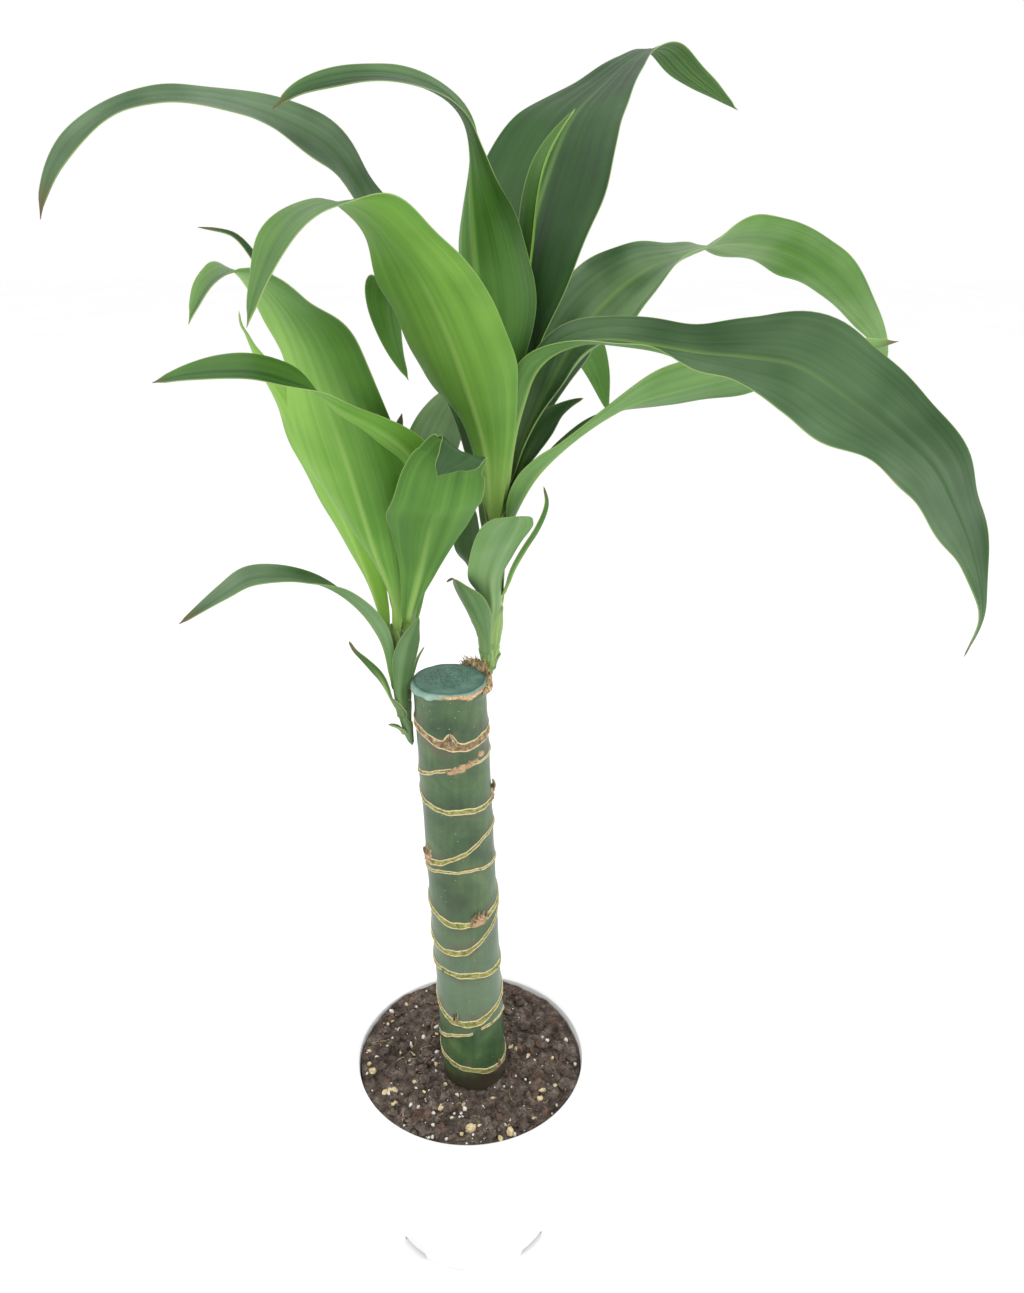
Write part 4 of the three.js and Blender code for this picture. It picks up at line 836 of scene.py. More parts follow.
def blade_relief(leaf, v, share, run, half, seed):
    """How far a blade is lifted at places v across it: by its waved edges, its soft pleats, a slow
    swell and the groove along its midrib. Its foot sinks into the stem's skin."""
    light, _, wave, _, _ = leaf["looks"]
    rib = half * np.abs(v)
    free = smoothstep(share, 0.06, 0.3) * (1 - smoothstep(share, 0.9, 1))
    wide = np.minimum(1, half / 14)
    lean = np.where(v > 0, 0.0, 2.1) + seed
    long_wave, short_wave = (run * TURN / length for length in BLADE["ripples"])
    ripple = np.sin(long_wave + lean) + 0.6 * np.sin(short_wave + 2.3 * lean)
    broad, narrow = (v * widest(leaf) * TURN / width for width in BLADE["pleats"])
    pleats = np.sin(broad + seed) + 0.6 * np.sin(narrow + 2 * seed)
    swell = np.sin(run * TURN / BLADE["swell"] + seed) * np.sin(v * 2.4 + seed)
    lift = wave * free * np.abs(v) ** 3 * ripple * wide
    lift += (0.04 + 0.14 * max(0, 0.8 - light)) * free * pleats * smoothstep(half - rib, 0, 3)
    lift += 0.5 * free * swell * wide + 0.75 * (1 - smoothstep(run, 0, 10))
    return lift - BLADE["groove"] * rib_share(share, half) * np.exp(-(rib / 1.5) ** 2)


def rib_share(share, half):
    """How strong the midrib is: it fades towards the tip and where the blade is narrow."""
    return (1 - share) ** 0.7 * np.minimum(1, half / 6)


def blade_shape(leaf, foot, out, columns, sheath, seed):
    """The shape of a leaf blade: rolled up into a channel, turned about its midrib and in relief,
    with a keel under the midrib and a thin margin."""
    across, sides = section(columns)
    light, side_shade, _, dry, grey_sheen = leaf["looks"]
    ease = SHARP_BEND if leaf["folded"] else SOFT_BEND
    foot_turn = (leaf["foot"][0] - leaf["heading"] + 540) % 360 - 180

    def shape(column, share):
        v, side = across[column], sides[column]
        centre, along, length = spine_curve([foot] + leaf["spine"], share, ease)
        run = share * length
        hold = 1 - smoothstep(run, 0, sheath)
        turn = np.radians(blend(between(leaf["twist"], share), foot_turn, hold))
        left, face = blade_directions(math.radians(leaf["heading"]), along, turn)
        half = np.maximum(0.5, between(leaf["half_widths"], share))
        taper = 1 - 0.75 * smoothstep(share, 0.97, 1)
        roll = blend(np.radians(between(leaf["channel"], share)), half / out, hold)
        bend = (half / roll)[:, None]
        half = half * taper
        a = (roll * v * taper)[:, None]
        point = centre + left * bend * np.sin(a) + face * bend * (1 - np.cos(a))
        normal = face * np.cos(a) - left * np.sin(a)

        rib = half * np.abs(v)
        keel = np.where(side < 0, BLADE["keel"], 0) * rib_share(share, half) * np.exp(-(rib / 0.9) ** 2)
        thick = blend(BLADE["thick"], BLADE["thin"], np.abs(v) ** 3) + keel
        thick = thick * np.clip((1 - share) * length / 1.5, 0, 1) * np.clip(run / 0.6, 0, 1)
        lift = blade_relief(leaf, v, share, run, half, seed)
        point = point + normal * (lift + side * thick / 2)[:, None]
        values = {
            "blade": np.stack([v * widest(leaf), run, np.full_like(v, 7.0 * seed)], 1),
            "place": np.stack([rib, half - rib, share], 1),
            # The leaf's own lightness, less painted shade that grows towards one edge.
            "tone_and_shade": light - side_shade * v,
            "dry": smoothstep(share, 1 - 2 * dry, 1) if dry else np.zeros_like(v),
            # How much painted grey sheen lies on the leaf, the same all over it.
            "grey_sheen": np.full_like(v, grey_sheen),
        }
        return point, values

    return shape


def make_blade(name, leaf, foot, out, columns, rows, sheath, seed):
    blade = shaped_grid(name, columns, rows, blade_shape(leaf, foot, out, columns, sheath, seed))
    edge_columns = (columns // 2 - 1, columns - 1)
    for face in blade.data.polygons:
        column = face.index % columns
        face.material_index = 2 if column in edge_columns else int(column > edge_columns[0])
    closed_up(blade, 50)
    return blade


def make_leaves():
    sides = [
        leaf_side("leaf_upper", "1f3d1a", "345a28", "5f8a38", "86a853", (0.36, 0.5), 0.27),
        # The underside's yellow green is partly its own lighter colour and partly painted light that
        # shines through the leaf.
        leaf_side("leaf_under", "325a18", "568a2a", "82b341", "a9c96c", (0.45, 0.6), 0.28),
        leaf_margin(),
    ]
    for stem, leaves in ((RIGHT_STEM, RIGHT_LEAVES), (LEFT_STEM, LEFT_LEAVES)):
        for count, row in enumerate(leaves):
            leaf = dict(PLAIN_LEAF, **row)
            foot, out = leaf_foot(stem, leaf["foot"])
            if leaf["drawn_down"]:
                leaf, foot, out = drawn_down(leaf, stem)
            columns = 2 * (2 * round(5 + widest(leaf) * 0.45) + 1)
            rows = int(24 + leaf_length(leaf, foot) * (1.6 if leaf["folded"] else 0.42))
            blade = make_blade(leaf["name"] + "_blade", leaf, foot, out, columns, rows,
                               SHEATH + leaf["drawn_down"], 0.9 * count + 1.3 * len(leaves))
            finished(blade, sides, [leaf["name"]])


# ---- shoot stems ----------------------------------------------------------------------------

def make_stem(name, stem, leaves, node, skin):
    """A shoot's stem, wrapped in the sheaths of its leaves: each ends in a slanting pale edge."""
    low, high = stem[0][2], stem[-1][2]

    def shape(angle, share):
        z = blend(low, high, share)
        x, y, radius = stem_at(stem, z)
        step = np.zeros_like(z)
        rim = np.zeros_like(z)
        for leaf in leaves:
            direction, height = math.radians(leaf["foot"][0]), leaf["foot"][1]
            slant = 4.5 * (1 - np.cos(angle - direction)) + 0.4 * np.sin(3 * angle + height)
            below = height + 1.5 - slant - z
            step = np.maximum(step, 0.5 * smoothstep(below, 0, 0.5) * (1 - smoothstep(below, 1, 11)))
            rim = np.maximum(rim, smoothstep(below, -0.1, 0.3) * (1 - smoothstep(below, 0.5, 1.1)))
        radius = radius - 0.35 + step
        ends = smoothstep(share, 0, 0.03) * (1 - smoothstep(share, 0.97, 1))
        radius = radius * np.sqrt(np.clip(ends, 0, 1)) * not_at_ends(share)
        return round_about(x, y, radius, angle, z), {"sheath_edge": rim}

    return finished(pulled_round(name, 96, 260, shape, 60), [skin], [node])


def make_bracts(name, stem, bracts):
    """Small pointed scales that stand off a stem."""
    pieces = []
    for count, (direction, height, length, width, stand, light) in enumerate(bracts):
        angle = math.radians(direction)
        foot, out = leaf_foot(stem, (direction, height - 2))
        outward = np.array([math.cos(angle), math.sin(angle), 0])
        spine = [tuple(np.array(foot) + length * (outward * lean + np.array([0, 0, rise])))
                 for lean, rise in ((0.16 * stand, 0.35), (0.5 * stand, 0.7), (stand, 1.0))]
        leaf = dict(PLAIN_LEAF, heading=direction, foot=(direction, height), spine=spine,
                    looks=(light, 0, 0, 0, 0.3),
                    half_widths=[(0, width * 0.5), (0.4, width * 0.52), (0.8, width * 0.28), (1, 0.5)],
                    channel=[(0, 45), (1, 30)])
        pieces.append(make_blade("bract", leaf, foot, out, 22, 16, 6, count + 0.5))
    return finished(joined(pieces, name), [dry_bract()])


# ---- cane, its wax and its husk -------------------------------------------------------------

CANE_COLUMNS = 160
CANE_STEPS = 32  # rows between one scar and the next
FAR = 9.0  # as far from any scar as it matters


def cane_axis(z):
    (x0, y0, z0), (x1, y1, z1) = CANE["foot"], CANE["top"]
    share = (z - z0) / (z1 - z0)
    return blend(x0, x1, share), blend(y0, y1, share)


def angle_between(angle, direction):
    return (angle - math.radians(direction) + math.pi) % TURN - math.pi


def scar_line(i, angle):
    """The height of scar i round the cane."""
    height, tilt, towards, _ = SCARS[i]
    seed = 1.3 * i
    wobble = (0.5 * np.sin(2 * angle + seed) + 0.4 * np.sin(3 * angle + 1.7 * seed)
              + 0.25 * np.sin(7 * angle + 2.9 * seed) + 0.12 * np.sin(17 * angle + seed))
    return height + tilt * np.cos(angle - math.radians(towards)) + wobble


def above_scar(i, z, angle):
    """How far places on the cane are above scar i, and how much of the scar is there."""
    d = z - scar_line(i, angle)
    if i == len(SCARS) - 1:
        aside = np.abs(angle_between(angle, PEAK["direction"])) * CANE["radius"]
        peak = PEAK["height"] * np.clip(1 - (aside / PEAK["half_width"]) ** 1.6, 0, 1)
        return np.where(d > 0, np.maximum(d * 2.4 / (2.4 + peak), d - peak), d), 1.0
    if i == BROKEN_SCAR["count"]:
        past = angle_between(angle, BROKEN_SCAR["direction"])
        d = d - 0.9 * smoothstep(past, -0.2, 0.2) * (1 - smoothstep(past, 1.6, 2.6)) + 0.45
        return d, smoothstep(np.abs(past), 0.08, 0.13)
    return d, 1.0


def scar_rings(z, angle):
    """How far the scars stand out from the bark. Also the distance to the nearest scar, counted in
    halves of its band, and half that band."""
    rings, away, band_half = np.zeros_like(z), np.full_like(z, FAR), np.ones_like(z)
    for i, (_, _, towards, width) in enumerate(SCARS):
        d, kept = above_scar(i, z, angle)
        ragged = 0.5 + 0.28 * np.sin(5 * angle + i) + 0.22 * np.sin(13 * angle + 2.2 * i)
        low_side = (1 - np.cos(angle - math.radians(towards))) / 2
        half = width / 2 * (0.5 + 0.5 * low_side) * (0.85 + 0.3 * ragged)
        low_edge = np.exp(-((d + half) / 0.38) ** 2)
        high_edge = np.exp(-((d - half) / 0.3) ** 2)
        rings += kept * (0.5 * np.exp(-(d / 4) ** 2) + (0.3 + 0.35 * ragged) * low_edge
                         + (0.15 + 0.25 * ragged) * high_edge)
        distance = np.where(kept > 0.5, np.abs(d) / half, FAR)
        nearer = distance < away
        away = np.where(nearer, distance, away)
        band_half = np.where(nearer, half, band_half)
    return rings, away, band_half


def bark_patches(z, angle):
    """How far the patches of loose bark stand out, and how brown they are."""
    out, brown = np.zeros_like(z), np.zeros_like(z)
    for direction, height, half_round, half_high in BARK:
        side = angle_between(angle, direction) * CANE["radius"]
        spot = ((side / half_round) ** 4 + ((z - height) / half_high) ** 4
                + 0.5 * np.sin(3.1 * side + height) * np.sin(2.7 * z))
        patch = 1 - smoothstep(spot, 0.5, 1.1)
        out += 0.4 * patch
        brown = np.maximum(brown, 0.75 * patch)
    return out, brown


def make_cane():
    """The cane: rows of the grid follow the scars, so their thin edges stay sharp."""
    top = CANE["top"][2]
    spans = len(SCARS) + 1

    def shape(angle, share):
        front = 1 - smoothstep(np.abs(angle_between(angle, WAX["front"])), 0.9, 1.4)
        lip = top + 0.25 * np.sin(3 * angle) + 0.15 * np.sin(8 * angle) + WAX["lip"] * front
        lines = [np.full_like(angle, CANE["bottom"])]
        lines += [scar_line(i, angle) for i in range(len(SCARS))]
        lines.append(np.where(share > 0.999, top, lip))
        place = np.clip(share * spans, 0, spans - 1e-9)
        span = place.astype(int)
        step = place - span
        step = step - 0.13 * np.sin(TURN * step)  # the rows are close together near the scars
        z = blend(np.choose(span, lines[:-1]), np.choose(span, lines[1:]), step)
        x, y = cane_axis(z)

        rings, away, band_half = scar_rings(z, angle)
        patches, brown = bark_patches(z, angle)
        # Under the cut the bark flares out, and its torn edge is tan round the front.
        flare = 0.75 * smoothstep(z, top - 4.5, top - 1.5)
        thick = 1.1 + 0.5 * smoothstep(angle_between(angle, WAX["thick_from"]), -0.3, 0.3)
        thick = thick + 0.4 * np.sin(5 * angle + 1) + 0.25 * np.sin(11 * angle)
        torn = smoothstep(z - lip, -thick - 0.3, -thick) * front
        brown = np.maximum(brown, torn)
        skin = round_about(x, y, CANE["radius"], angle, z)
        fine = 0.12 * roughness(skin, 14, 3) + 0.03 * roughness(skin * (1, 1, 0.08), 1.6, 2)
        crumbs = roughness(round_about(x, y, 17, angle, z), 1.1, 2)
        crust = 0.2 * (np.clip(1.6 - away, 0, 1) + brown) * crumbs
        radius = CANE["radius"] - 0.6 + rings + patches + flare + 0.25 * torn + fine + crust
        scar = np.stack([np.minimum(away, 7), band_half, brown], 1)
        return round_about(x, y, radius * not_at_ends(share), angle, z), {"scar": scar}

    cane = pulled_round("cane_bark", CANE_COLUMNS, CANE_STEPS * spans, shape, 70)
    return finished(cane, [cane_bark()], ["cane"])


def make_buds():
    """Dried buds: small torn wedges of brown bark standing on the scars."""
    pieces = []
    for count, (direction, height, width, length, frayed) in enumerate(BUDS):
        angle = math.radians(direction)
        x, y = cane_axis(height)
        across = np.array([-math.sin(angle), math.cos(angle), 0])
        outward = np.array([math.cos(angle), math.sin(angle), 0])
        base = np.array([x, y, height]) + outward * (CANE["radius"] - 0.4)

        def placed(aside, out, up, rough, lumps):
            """Points beside, out from and above the bud's base, roughened outwards."""
            points = (base + across * aside[:, None] + outward * out[:, None]
                      + np.array([0, 0, 1]) * up[:, None])
            return points + outward * (rough * roughness(points, lumps, 2))[:, None], {}

        def wedge(turn, share):
            half = width / 2 * (1 - share) ** 0.8 + 0.15
            deep = (1.1 - 0.7 * share) * (1 + 0.25 * np.sin(5 * turn + count))
            tip = not_at_ends(share)
            lean = 0.9 * np.sin(math.pi * share) + 0.3 * share
            lift = length * share + 0.35 * np.sin(3 * turn + 2 * count) * tip
            return placed(half * np.cos(turn) * tip, deep * np.sin(turn) * tip + lean, lift, 0.25, 1.2)

        def scale(turn, share):
            tip = not_at_ends(share)
            half = width * 0.11 * (1 - share) ** 0.6 * (1 + 0.3 * np.sin(6 * share + k))
            reach = length * (1 - 1.3 * spread * spread) * (0.8 + 0.2 * math.sin(3.3 * k))
            aside = width * spread * (0.55 + 0.7 * share) + half * np.cos(turn) * tip
            out = 0.35 * np.sin(turn) * tip + lean * 3.2 * share - 1.4 * lean * share ** 3
            return placed(aside, out, reach * share, 0.3, 1.0)

        if not frayed:
            pieces.append(pulled_round("bud", 20, 14, wedge, 60))
            continue
        # A frayed bud is a tuft of flat scales that spread out from its foot.
        for k in range(BUD_SCALES):
            spread = (k + 0.5) / BUD_SCALES - 0.5
            lean = 0.35 + 0.3 * math.sin(2.1 * k + count)
            pieces.append(pulled_round("scale", 8, 8, scale, 60))
    bark = loose_bark("bud_bark", "463a2b", "8f7d5f", "d2c6a4")
    return finished(joined(pieces, "cane_buds"), [bark])


def make_wax():
    """Sealing wax on the cut: a pitted middle, a smooth rim and a skirt that has run over the edge."""
    x, y = cane_axis(WAX["base"])
    # Rows run out under the wax, down inside its skirt, up outside it and over the top to the middle.
    under, inside, outside, rows = 3, 8, 18, 90

    def shape(angle, share):
        row = np.rint(share * rows)
        out = np.clip(row / under, 0, 1)
        down = np.clip((row - under) / (inside - under), 0, 1)
        up = np.clip((row - inside) / (outside - inside), 0, 1)
        inwards = np.clip((row - outside) / (rows - outside), 0, 1)
        edge = WAX["radius"] + 0.12 * np.sin(5 * angle + 1) + 0.08 * np.sin(11 * angle)
        left = 1 - smoothstep(np.abs(angle_between(angle, WAX["left"])), 0.8, 1.3)
        fall = WAX["skirt"] * (0.75 + 0.3 * np.sin(4 * angle + 0.6) + 0.2 * np.sin(9 * angle + 2)
                               + 0.12 * np.sin(17 * angle))
        bottom = WAX["base"] - fall * (0.1 + 0.9 * left)
        inner = edge + 0.1 + 0.55 * left
        radius = np.where(row <= inside, inner * out, blend(inner + 0.3, edge - 0.6, up ** 2))
        radius = np.where(row > outside, (edge - 0.6) * (1 - inwards), radius)
        z = np.where(row <= under, WAX["base"], blend(WAX["base"], bottom, down))
        z = np.where(row > inside, blend(bottom, WAX["base"] + WAX["thickness"], np.sqrt(up)), z)
        top = row >= outside
        z = z + WAX["rise"] * (1 - (radius / edge) ** 2) * top
        brim = np.exp(-((radius - edge + 0.9) / 0.5) ** 2) * top
        middle = top * (1 - smoothstep(radius, edge - 6.0, edge - 3.5))
        points = round_about(x, y, radius, angle, z)
        dimples = roughness(points, 1.15, 2) * middle
        waves = roughness(points, 4.5, 2, 3.0)
        points[:, 2] += (0.2 * brim + 0.42 * dimples - 0.2 * middle + 0.15 * waves) * top
        drips = 0.2 * np.clip(np.sin(6 * angle + 1), 0, 1) * (row > inside) * (row < outside - 1)
        side = (row > under) * (1 - smoothstep(row, outside - 4, outside))
        return pushed_out(points, drips, angle), {"middle": middle, "side": side, "brim": brim}

    wax = pulled_round("wax_seal", 144, rows, shape, 50)
    return finished(wax, [sealing_wax()], ["wax_cap"])


def make_husk():
    """Torn fibrous bark at the foot of the right shoot: a ragged crescent and loose fibres."""
    draw = random.Random(5)
    x, y, _ = CANE["top"]
    inner = CANE["radius"] + 0.4
    start, end = math.radians(HUSK["start"]), math.radians(HUSK["end"])

    def shape(turn, share):
        angle = blend(start, end, share)
        torn = 0.5 * np.sin(9 * share + 1) + 0.6 * np.sin(31 * share) + 0.7 * np.sin(83 * share)
        top = between(HUSK["tops"], share) + 0.6 * torn
        foot = between(HUSK["feet"], share) + 0.4 * np.sin(47 * share)
        half, thick = (top - foot) / 2, between(HUSK["thickness"], share) / 2
        ends = not_at_ends(share)
        out = inner + thick + ends * thick * np.cos(turn) * (1 - 0.45 * np.sin(turn))
        z = foot + half + ends * half * np.sin(turn)
        points = round_about(x, y, out, angle, z)
        rough = 0.9 * ends * roughness(points * (1, 1, 0.3), 1.1, 3)
        return pushed_out(points, rough, angle), {}

    pieces = [pulled_round("husk_crescent", 24, 150, shape, 70)]
    for _ in range(HUSK["fibres"]):
        share = draw.uniform(0.05, 1.0) if draw.random() < 0.3 else draw.uniform(0.5, 0.98)
        angle = blend(start, end, share)
        top, foot = (float(between(HUSK[key], share)) for key in ("tops", "feet"))
        thick = float(between(HUSK["thickness"], share))
        tall = share > 0.5
        length = draw.uniform(1.5, 5.0) if tall else draw.uniform(1.0, 2.2)
        start_z = draw.uniform((foot + top) / 2, top - 0.3) if tall else draw.uniform(foot, top)
        out = inner + thick * draw.uniform(0.1, 0.95)
        spread = draw.uniform(-3.0, 3.0)
        lean = draw.uniform(-0.35, 0.15)
        rise = draw.uniform(0.5, 1.0) if tall else draw.uniform(-0.4, 0.5)
        wide = draw.uniform(0.15, 0.4)
        phase = draw.uniform(0, TURN)

        def strand(turn, share):
            swing = angle + (spread * share + 0.25 * np.sin(5 * share + phase)) / out
            reach = out + lean * length * share + 0.25 * np.sin(7 * share + phase)
            girth = wide * (1 - share) ** 0.6 * not_at_ends(share)
            points = round_about(x, y, reach, swing, start_z + rise * length * share)
            return pushed_out(points, girth, turn), {}

        pieces.append(pulled_round("fibre", 5, 7, strand, 60))
    husk = joined(pieces, "husk_fibres")
    bark = loose_bark("husk_bark", "4a3b2a", "b79a70", "ecdcb4")
    return finished(husk, [bark], ["right_shoot_husk"])


# ---- pot and soil ---------------------------------------------------------------------------

def pot_outside(z):
    return POT["base"] + (POT["shoulder"] - POT["base"]) * z / (POT["height"] - POT["band"])


def turned(name, profile, sides):
    """A ring pulled up through the profile's radii and heights, closed at both ends."""
    deselect_all()
    radius, height = profile[0]
    bpy.ops.mesh.primitive_circle_add(vertices=sides, radius=radius * MM,
                                      location=(0, 0, height * MM), fill_type="NGON")
    piece = named(name)
    bpy.ops.object.mode_set(mode="EDIT")
    bpy.ops.mesh.select_all(action="SELECT")
    for next_radius, next_height in profile[1:]:
        bpy.ops.mesh.extrude_region_move(
            TRANSFORM_OT_translate={"value": (0, 0, (next_height - height) * MM)})
        scale = next_radius / radius
        bpy.ops.transform.resize(value=(scale, scale, 1), center_override=(0, 0, next_height * MM))
        radius, height = next_radius, next_height
    bpy.ops.object.mode_set(mode="OBJECT")
    bpy.ops.object.transform_apply(location=True, rotation=True, scale=True)
    return piece


def make_pot():
    band = POT["height"] - POT["band"]
    floor = POT["foot"] + POT["floor"]
    inner_foot = POT["base"] - POT["foot_width"]
    profile = [
        (POT["centre_foot"], 0), (POT["centre_foot"], POT["foot"]), (inner_foot, POT["foot"]),
        (inner_foot, 0.4), (inner_foot + 0.4, 0), (POT["base"] - 0.5, 0),
        (pot_outside(0.5), 0.5), (pot_outside(3.4), 3.4), (pot_outside(3.8) - 0.25, 3.8),
        (pot_outside(4.4) - 0.25, 4.4), (pot_outside(4.8), 4.8), (pot_outside(band), band),
        (POT["rim"] - 0.35, band + 0.25), (POT["rim"], band + 0.8), (POT["rim"], POT["height"] - 1),
        (POT["rim"] - 0.3, POT["height"] - 0.35), (POT["rim"] - 1, POT["height"]),
        (POT["rim_inner"] + 0.7, POT["height"]), (POT["rim_inner"] + 0.2, POT["height"] - 0.3),
        (POT["rim_inner"], POT["height"] - 0.9), (pot_outside(band) - POT["wall"], band - 1),
        (pot_outside(floor) - POT["wall"], floor + 1), (pot_outside(floor) - POT["wall"] - 1, floor),
        (2, floor),
    ]
    pot = turned("pot_shell", profile, POT["sides"])
    cutters = []
    for i in range(POT["notches"]):
        direction = TURN * (i + 0.5) / POT["notches"]
        cutters += [foot_notch(direction), drain_hole(direction)]
    cutter = joined(cutters, "cutter")
    modified(pot, "BOOLEAN", object=cutter, operation="DIFFERENCE", solver="EXACT")
    bpy.data.objects.remove(cutter)
    closed_up(pot, 35)
    return finished(pot, [pot_plastic()], ["pot"])


def foot_notch(direction):
    """An arch through the foot ring, to be cut away."""
    half_width = POT["base"] * math.sin(math.radians(POT["notch_angle"]))
    reach = POT["base"] - POT["foot_width"] / 2
    deselect_all()
    bpy.ops.mesh.primitive_cube_add(size=1, location=(0, 0, 0))
    notch = named("notch")
    notch.scale = (10 * MM, 2 * half_width * MM, 2 * (POT["foot"] - 0.3) * MM)
    bpy.ops.object.transform_apply(scale=True)
    modified(notch, "BEVEL", width=1.4 * MM, segments=4)
    notch.rotation_euler.z = direction
    notch.location = (reach * math.cos(direction) * MM, reach * math.sin(direction) * MM, 0)
    bpy.ops.object.transform_apply(location=True, rotation=True)
    return notch


def drain_hole(direction):
    deselect_all()
    bpy.ops.mesh.primitive_cylinder_add(
        vertices=32, radius=POT["drain"] * MM, depth=2 * POT["floor"] * MM,
        location=(POT["drain_circle"] * math.cos(direction) * MM,
                  POT["drain_circle"] * math.sin(direction) * MM,
                  (POT["foot"] + POT["floor"] / 2) * MM))
    hole = named("hole")
    bpy.ops.object.transform_apply(location=True)
    return hole


def soil_height(x, y):
    """Crumbled soil: banked up the wall, with low mounds and finer clods."""
    bank = SOIL["bank"] * (x * x + y * y) / POT["rim_inner"] ** 2
    slope = SOIL["slope"] * (y - x) / POT["rim_inner"]
    mounds = np.sin(x * 0.11 + 0.7) * np.cos(y * 0.13 - 0.4)
    clods = np.sin(x * 0.47 + y * 0.21) * np.sin(y * 0.53 - x * 0.17 + 1.1)
    crumbs = np.sin(x * 1.3 - y * 0.9) * np.sin(y * 1.7 + x * 0.6)
    out = np.hypot(x, y) / POT["rim_inner"]
    heap = 1.5 * smoothstep(out, 0.7, 0.95) * smoothstep(y / POT["rim_inner"], 0.1, 0.7)
    relief = SOIL["relief"] * (0.4 * mounds + 0.4 * clods + 0.2 * crumbs)
    return SOIL["level"] + bank + slope + heap + relief


def soil_wall(z):
    return pot_outside(z) - POT["wall"] - 0.35


def make_soil():
    """The soil, filling the pot round the hole that the cane stands in."""
    hole = CANE["radius"] - 0.7
    shoulder = POT["height"] - POT["band"] - 2
    # Rows run from the middle of the underside up the wall, in over the top and down the hole.
    rows, wall_rows, hole_rows = 100, 8, 4
    last_top = rows - hole_rows
    hole_x, hole_y = cane_axis(SOIL["level"])
    deep_x, deep_y = cane_axis(SOIL["hole_floor"])

    def shape(angle, share):
        row = np.rint(share * rows)
        inwards = np.clip((row - wall_rows) / (last_top - wall_rows), 0, 1)
        top = round_about(hole_x * inwards, hole_y * inwards, blend(soil_wall(shoulder), hole, inwards),
                          angle, np.zeros_like(share))
        rough = roughness(top, 9, 5) * 1.3 + 1.1 * np.abs(roughness(top, 3.2, 3, 4.0))
        loose = smoothstep(inwards, 0, 0.03) * (1 - smoothstep(inwards, 0.985, 1) * 0.3)
        top[:, 2] = soil_height(top[:, 0], top[:, 1]) + (rough - 0.4) * loose
        up = np.clip((row - 1) / (wall_rows - 1), 0, 1)
        side_z = blend(SOIL["bottom"], shoulder, up)
        wall = round_about(0, 0, soil_wall(side_z) * (row > 0), angle, side_z)
        down = np.clip((row - last_top) / (hole_rows - 1), 0, 1)
        sleeve = round_about(blend(hole_x, deep_x, down), blend(hole_y, deep_y, down),
                             hole * (row < rows), angle, blend(SOIL["level"], SOIL["hole_floor"], down))
        points = np.where((row < wall_rows)[:, None], wall, top)
        return np.where((row > last_top)[:, None], sleeve, points), {}

    soil = pulled_round("soil_bed", 224, rows, shape, 75)
    return finished(soil, [peat("damp_peat", "241d19", "5e524a", "a0958a")], ["soil"])


def lump(name, seed, segments, rings, rough):
    """A small irregular lump, about 1 mm in radius."""
    deselect_all()
    bpy.ops.mesh.primitive_uv_sphere_add(segments=segments, ring_count=rings, radius=MM)
    piece = named(name)
    bpy.ops.object.mode_set(mode="EDIT")
    bpy.ops.mesh.select_all(action="SELECT")
    bpy.ops.transform.vertex_random(offset=rough * MM, uniform=0.4, normal=0.6, seed=seed)
    bpy.ops.object.mode_set(mode="OBJECT")
    return piece


def scattered(name, kinds, count, sizes, draw, flat, sunk, keep_off=1.0, favour=0.0):
    """Copies of small lumps over the soil, sunk a little into it. Where favour is above 0 more of
    them lie at the front left."""
    pieces = []
    hole_x, hole_y = cane_axis(SOIL["level"])
    edge = SOIL["loose_radius"]
    while len(pieces) < count:
        angle, out = draw.uniform(0, TURN), edge * math.sqrt(draw.random())
        x, y = out * math.cos(angle), out * math.sin(angle)
        size = sizes[0] + (sizes[1] - sizes[0]) * draw.random() ** 3
        if math.hypot(x - hole_x, y - hole_y) < CANE["radius"] + keep_off + size:
            continue
        if out + size > edge + 0.6 or draw.random() < favour * (x + y + 20) / 80:
            continue
        z = float(soil_height(x, y)) + 0.25 - sunk * size + draw.uniform(0, 0.5)
        source = draw.choice(kinds)
        piece = source.copy()
        piece.data = source.data.copy()
        bpy.context.collection.objects.link(piece)
        turn = Matrix.Rotation(draw.uniform(0, TURN), 4, "Z")
        tip = Matrix.Rotation(draw.uniform(-0.6, 0.6), 4, "X")
        grow = Matrix.Diagonal((size, size * draw.uniform(0.6, 1), size * flat, 1))
        piece.data.transform(Matrix.Translation(Vector((x, y, z)) * MM) @ turn @ tip @ grow)
        pieces.append(piece)
    return joined(pieces, name)


def make_soil_bits():
    """Dark and reddish clods of peat, grains of perlite and pumice, and loose fibres on the soil."""
    draw = random.Random(11)
    clods = [lump("clod", seed, 9, 7, 0.32) for seed in range(6)]
    grains = [lump("grain", seed, 7, 5, 0.22) for seed in range(20, 25)]
    pieces = [
        (scattered("soil_clods", clods, 640, (0.7, 3.6), draw, 0.8, 0.2, -1.2),
         peat("peat_clods", "2b2420", "675b52", "a29689")),
        (scattered("soil_red_clods", clods, 90, (1.2, 4.6), draw, 0.6, 0.35),
         peat("reddish_peat", "3c2d28", "6b564b", "917b6b")),
        (scattered("perlite_grains", grains, 160, (0.35, 1.5), draw, 0.85, 0.1, favour=0.8),
         perlite("white_perlite", "bdb6a6", "f1eee6")),
        (scattered("pumice_grains", grains, 48, (1.1, 3.0), draw, 0.75, 0.15, favour=0.9),
         perlite("cream_pumice", "a98f62", "ead9ae")),
    ]
    for source in clods + grains:
        bpy.data.objects.remove(source)
    for piece, material in pieces:
        only(piece)
        bpy.ops.object.shade_smooth_by_angle(angle=math.radians(50))
        finished(piece, [material])
    fibre = loose_bark("fibre_bark", "6b5238", "ab8f66", "dcc9a0")
    finished(make_soil_fibres(draw), [fibre])


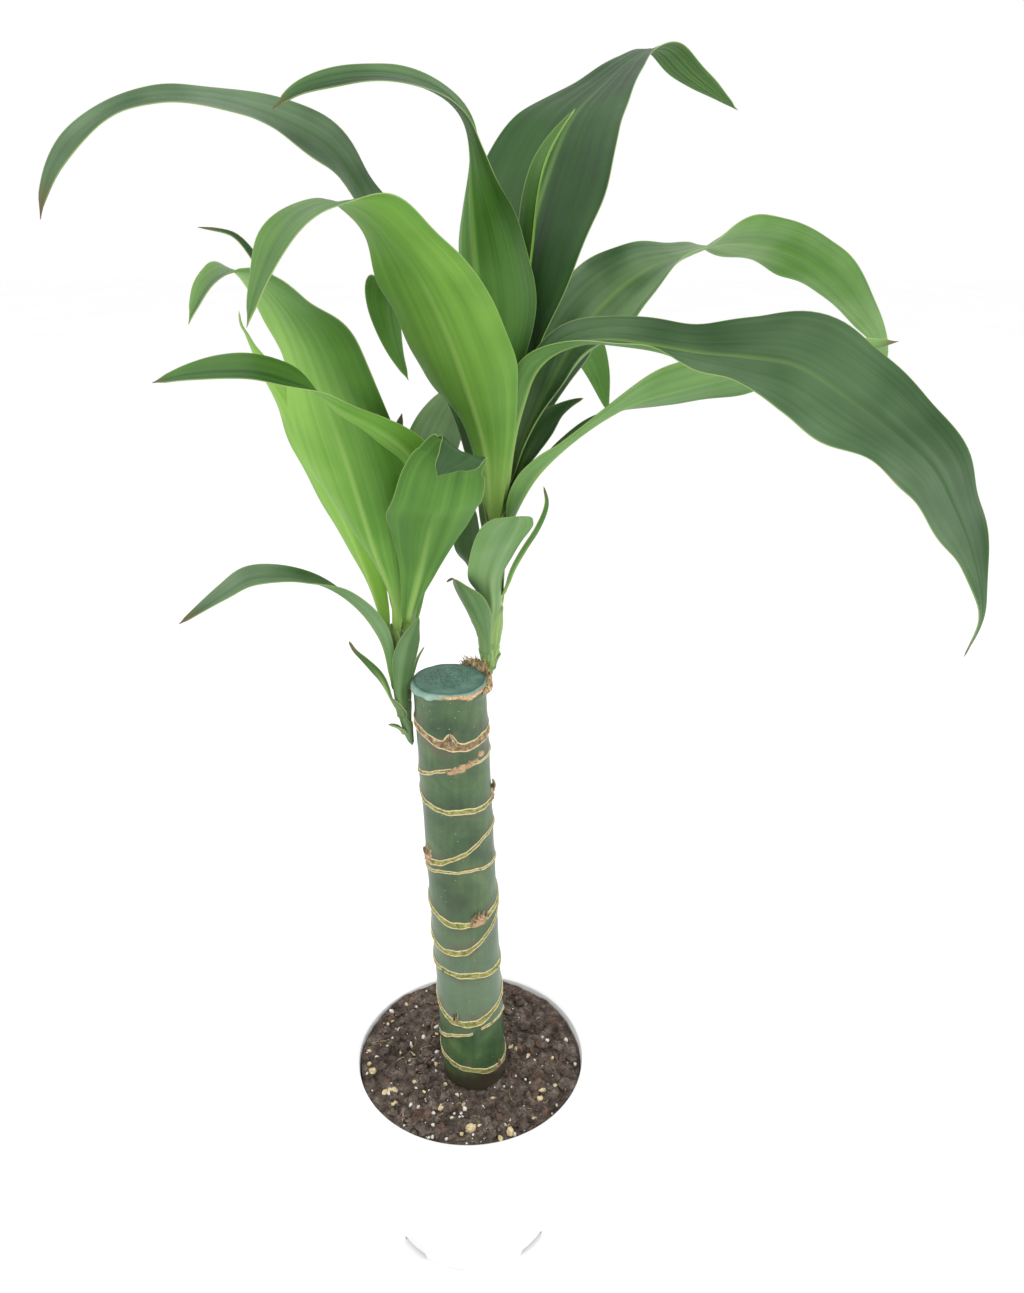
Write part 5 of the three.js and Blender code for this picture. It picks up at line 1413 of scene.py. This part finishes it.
def make_soil_fibres(draw):
    """Thin curled fibres that lie on the clods, clear of the cane."""
    pieces = []
    hole_x, hole_y = cane_axis(SOIL["level"])
    while len(pieces) < SOIL["fibres"]:
        angle, out = draw.uniform(0, TURN), 50 * math.sqrt(draw.random())
        x, y = out * math.cos(angle), out * math.sin(angle)
        if math.hypot(x - hole_x, y - hole_y) < 26:
            continue
        heading, length = draw.uniform(0, TURN), draw.uniform(3, 12)
        curl, thick, phase = draw.uniform(-0.8, 0.8), draw.uniform(0.1, 0.2), draw.uniform(0, TURN)

        def strand(turn, share):
            way = heading + curl * share
            points = round_about(x, y, length * (share - 0.5), way, np.zeros_like(share))
            wide = thick * not_at_ends(share)
            points[:, 2] = (soil_height(points[:, 0], points[:, 1]) + 1.1
                            + 0.7 * np.sin(3 * share + phase) + wide * np.sin(turn))
            return pushed_out(points, wide * np.cos(turn), way + math.pi / 2), {}

        pieces.append(pulled_round("fibre", 5, 9, strand, 60))
    return joined(pieces, "soil_fibres")


# ---- the studio -----------------------------------------------------------------------------

# The camera stands where the photograph was taken from, looking down over the plant.
CAMERA = dict(place=(0, -412, 517), down=23.86, right=2.81, roll=0.27, lens=29.26)


def make_camera():
    down, right, roll = (math.radians(CAMERA[key]) for key in ("down", "right", "roll"))
    forward = Vector((math.sin(right) * math.cos(down), math.cos(right) * math.cos(down),
                      -math.sin(down)))
    level = forward.cross(Vector((0, 0, 1))).normalized()
    up = level.cross(forward)
    side = level * math.cos(roll) + up * math.sin(roll)
    up = up * math.cos(roll) - level * math.sin(roll)
    camera = bpy.data.objects.new("camera", bpy.data.cameras.new("camera"))
    camera.data.lens = CAMERA["lens"]
    camera.data.sensor_width = 36
    camera.data.clip_start = 0.01
    turn = Matrix((side, up, -forward)).transposed().to_4x4()
    camera.matrix_world = Matrix.Translation(Vector(CAMERA["place"]) * MM) @ turn
    bpy.context.collection.objects.link(camera)
    bpy.context.scene.camera = camera


def soft_light(name, place, power, size):
    light = bpy.data.lights.new(name, "AREA")
    light.energy = power
    light.size = size
    lamp = bpy.data.objects.new(name, light)
    lamp.location = place
    aim = Vector((0, 0, 0.3)) - Vector(place)
    lamp.rotation_euler = aim.to_track_quat("-Z", "Y").to_euler()
    bpy.context.collection.objects.link(lamp)


def make_studio():
    """A plain pale floor and room with two soft lights."""
    deselect_all()
    bpy.ops.mesh.primitive_plane_add(size=12, location=(0, 0, 0))
    floor = named("studio_floor")
    floor.data.materials.append(studio_floor())
    world = bpy.data.worlds.new("pale_room")
    world.use_nodes = True
    world.node_tree.nodes["Background"].inputs["Color"].default_value = (1, 1, 1, 1)
    world.node_tree.nodes["Background"].inputs["Strength"].default_value = 1.0
    bpy.context.scene.world = world
    soft_light("key_light", (-0.7, -0.8, 1.5), 9, 1.1)
    soft_light("side_light", (1.1, -0.3, 0.9), 5, 0.8)
    bpy.context.scene.view_settings.view_transform = "Standard"


make_camera()
make_studio()
make_pot()
make_soil()
make_soil_bits()
make_cane()
make_buds()
make_wax()
make_husk()
make_stem("right_stem_sheaths", RIGHT_STEM, RIGHT_LEAVES, "right_shoot_stem",
          stem_skin("right_stem_skin", "65883f", "83a653", "a4c373"))
make_stem("left_stem_sheaths", LEFT_STEM, LEFT_LEAVES, "left_shoot_stem",
          stem_skin("left_stem_skin", "4d6b3c", "69885a", "8ba57a"))
make_bracts("right_stem_bracts", RIGHT_STEM, RIGHT_BRACTS)
make_bracts("left_stem_bracts", LEFT_STEM, LEFT_BRACTS)
make_leaves()
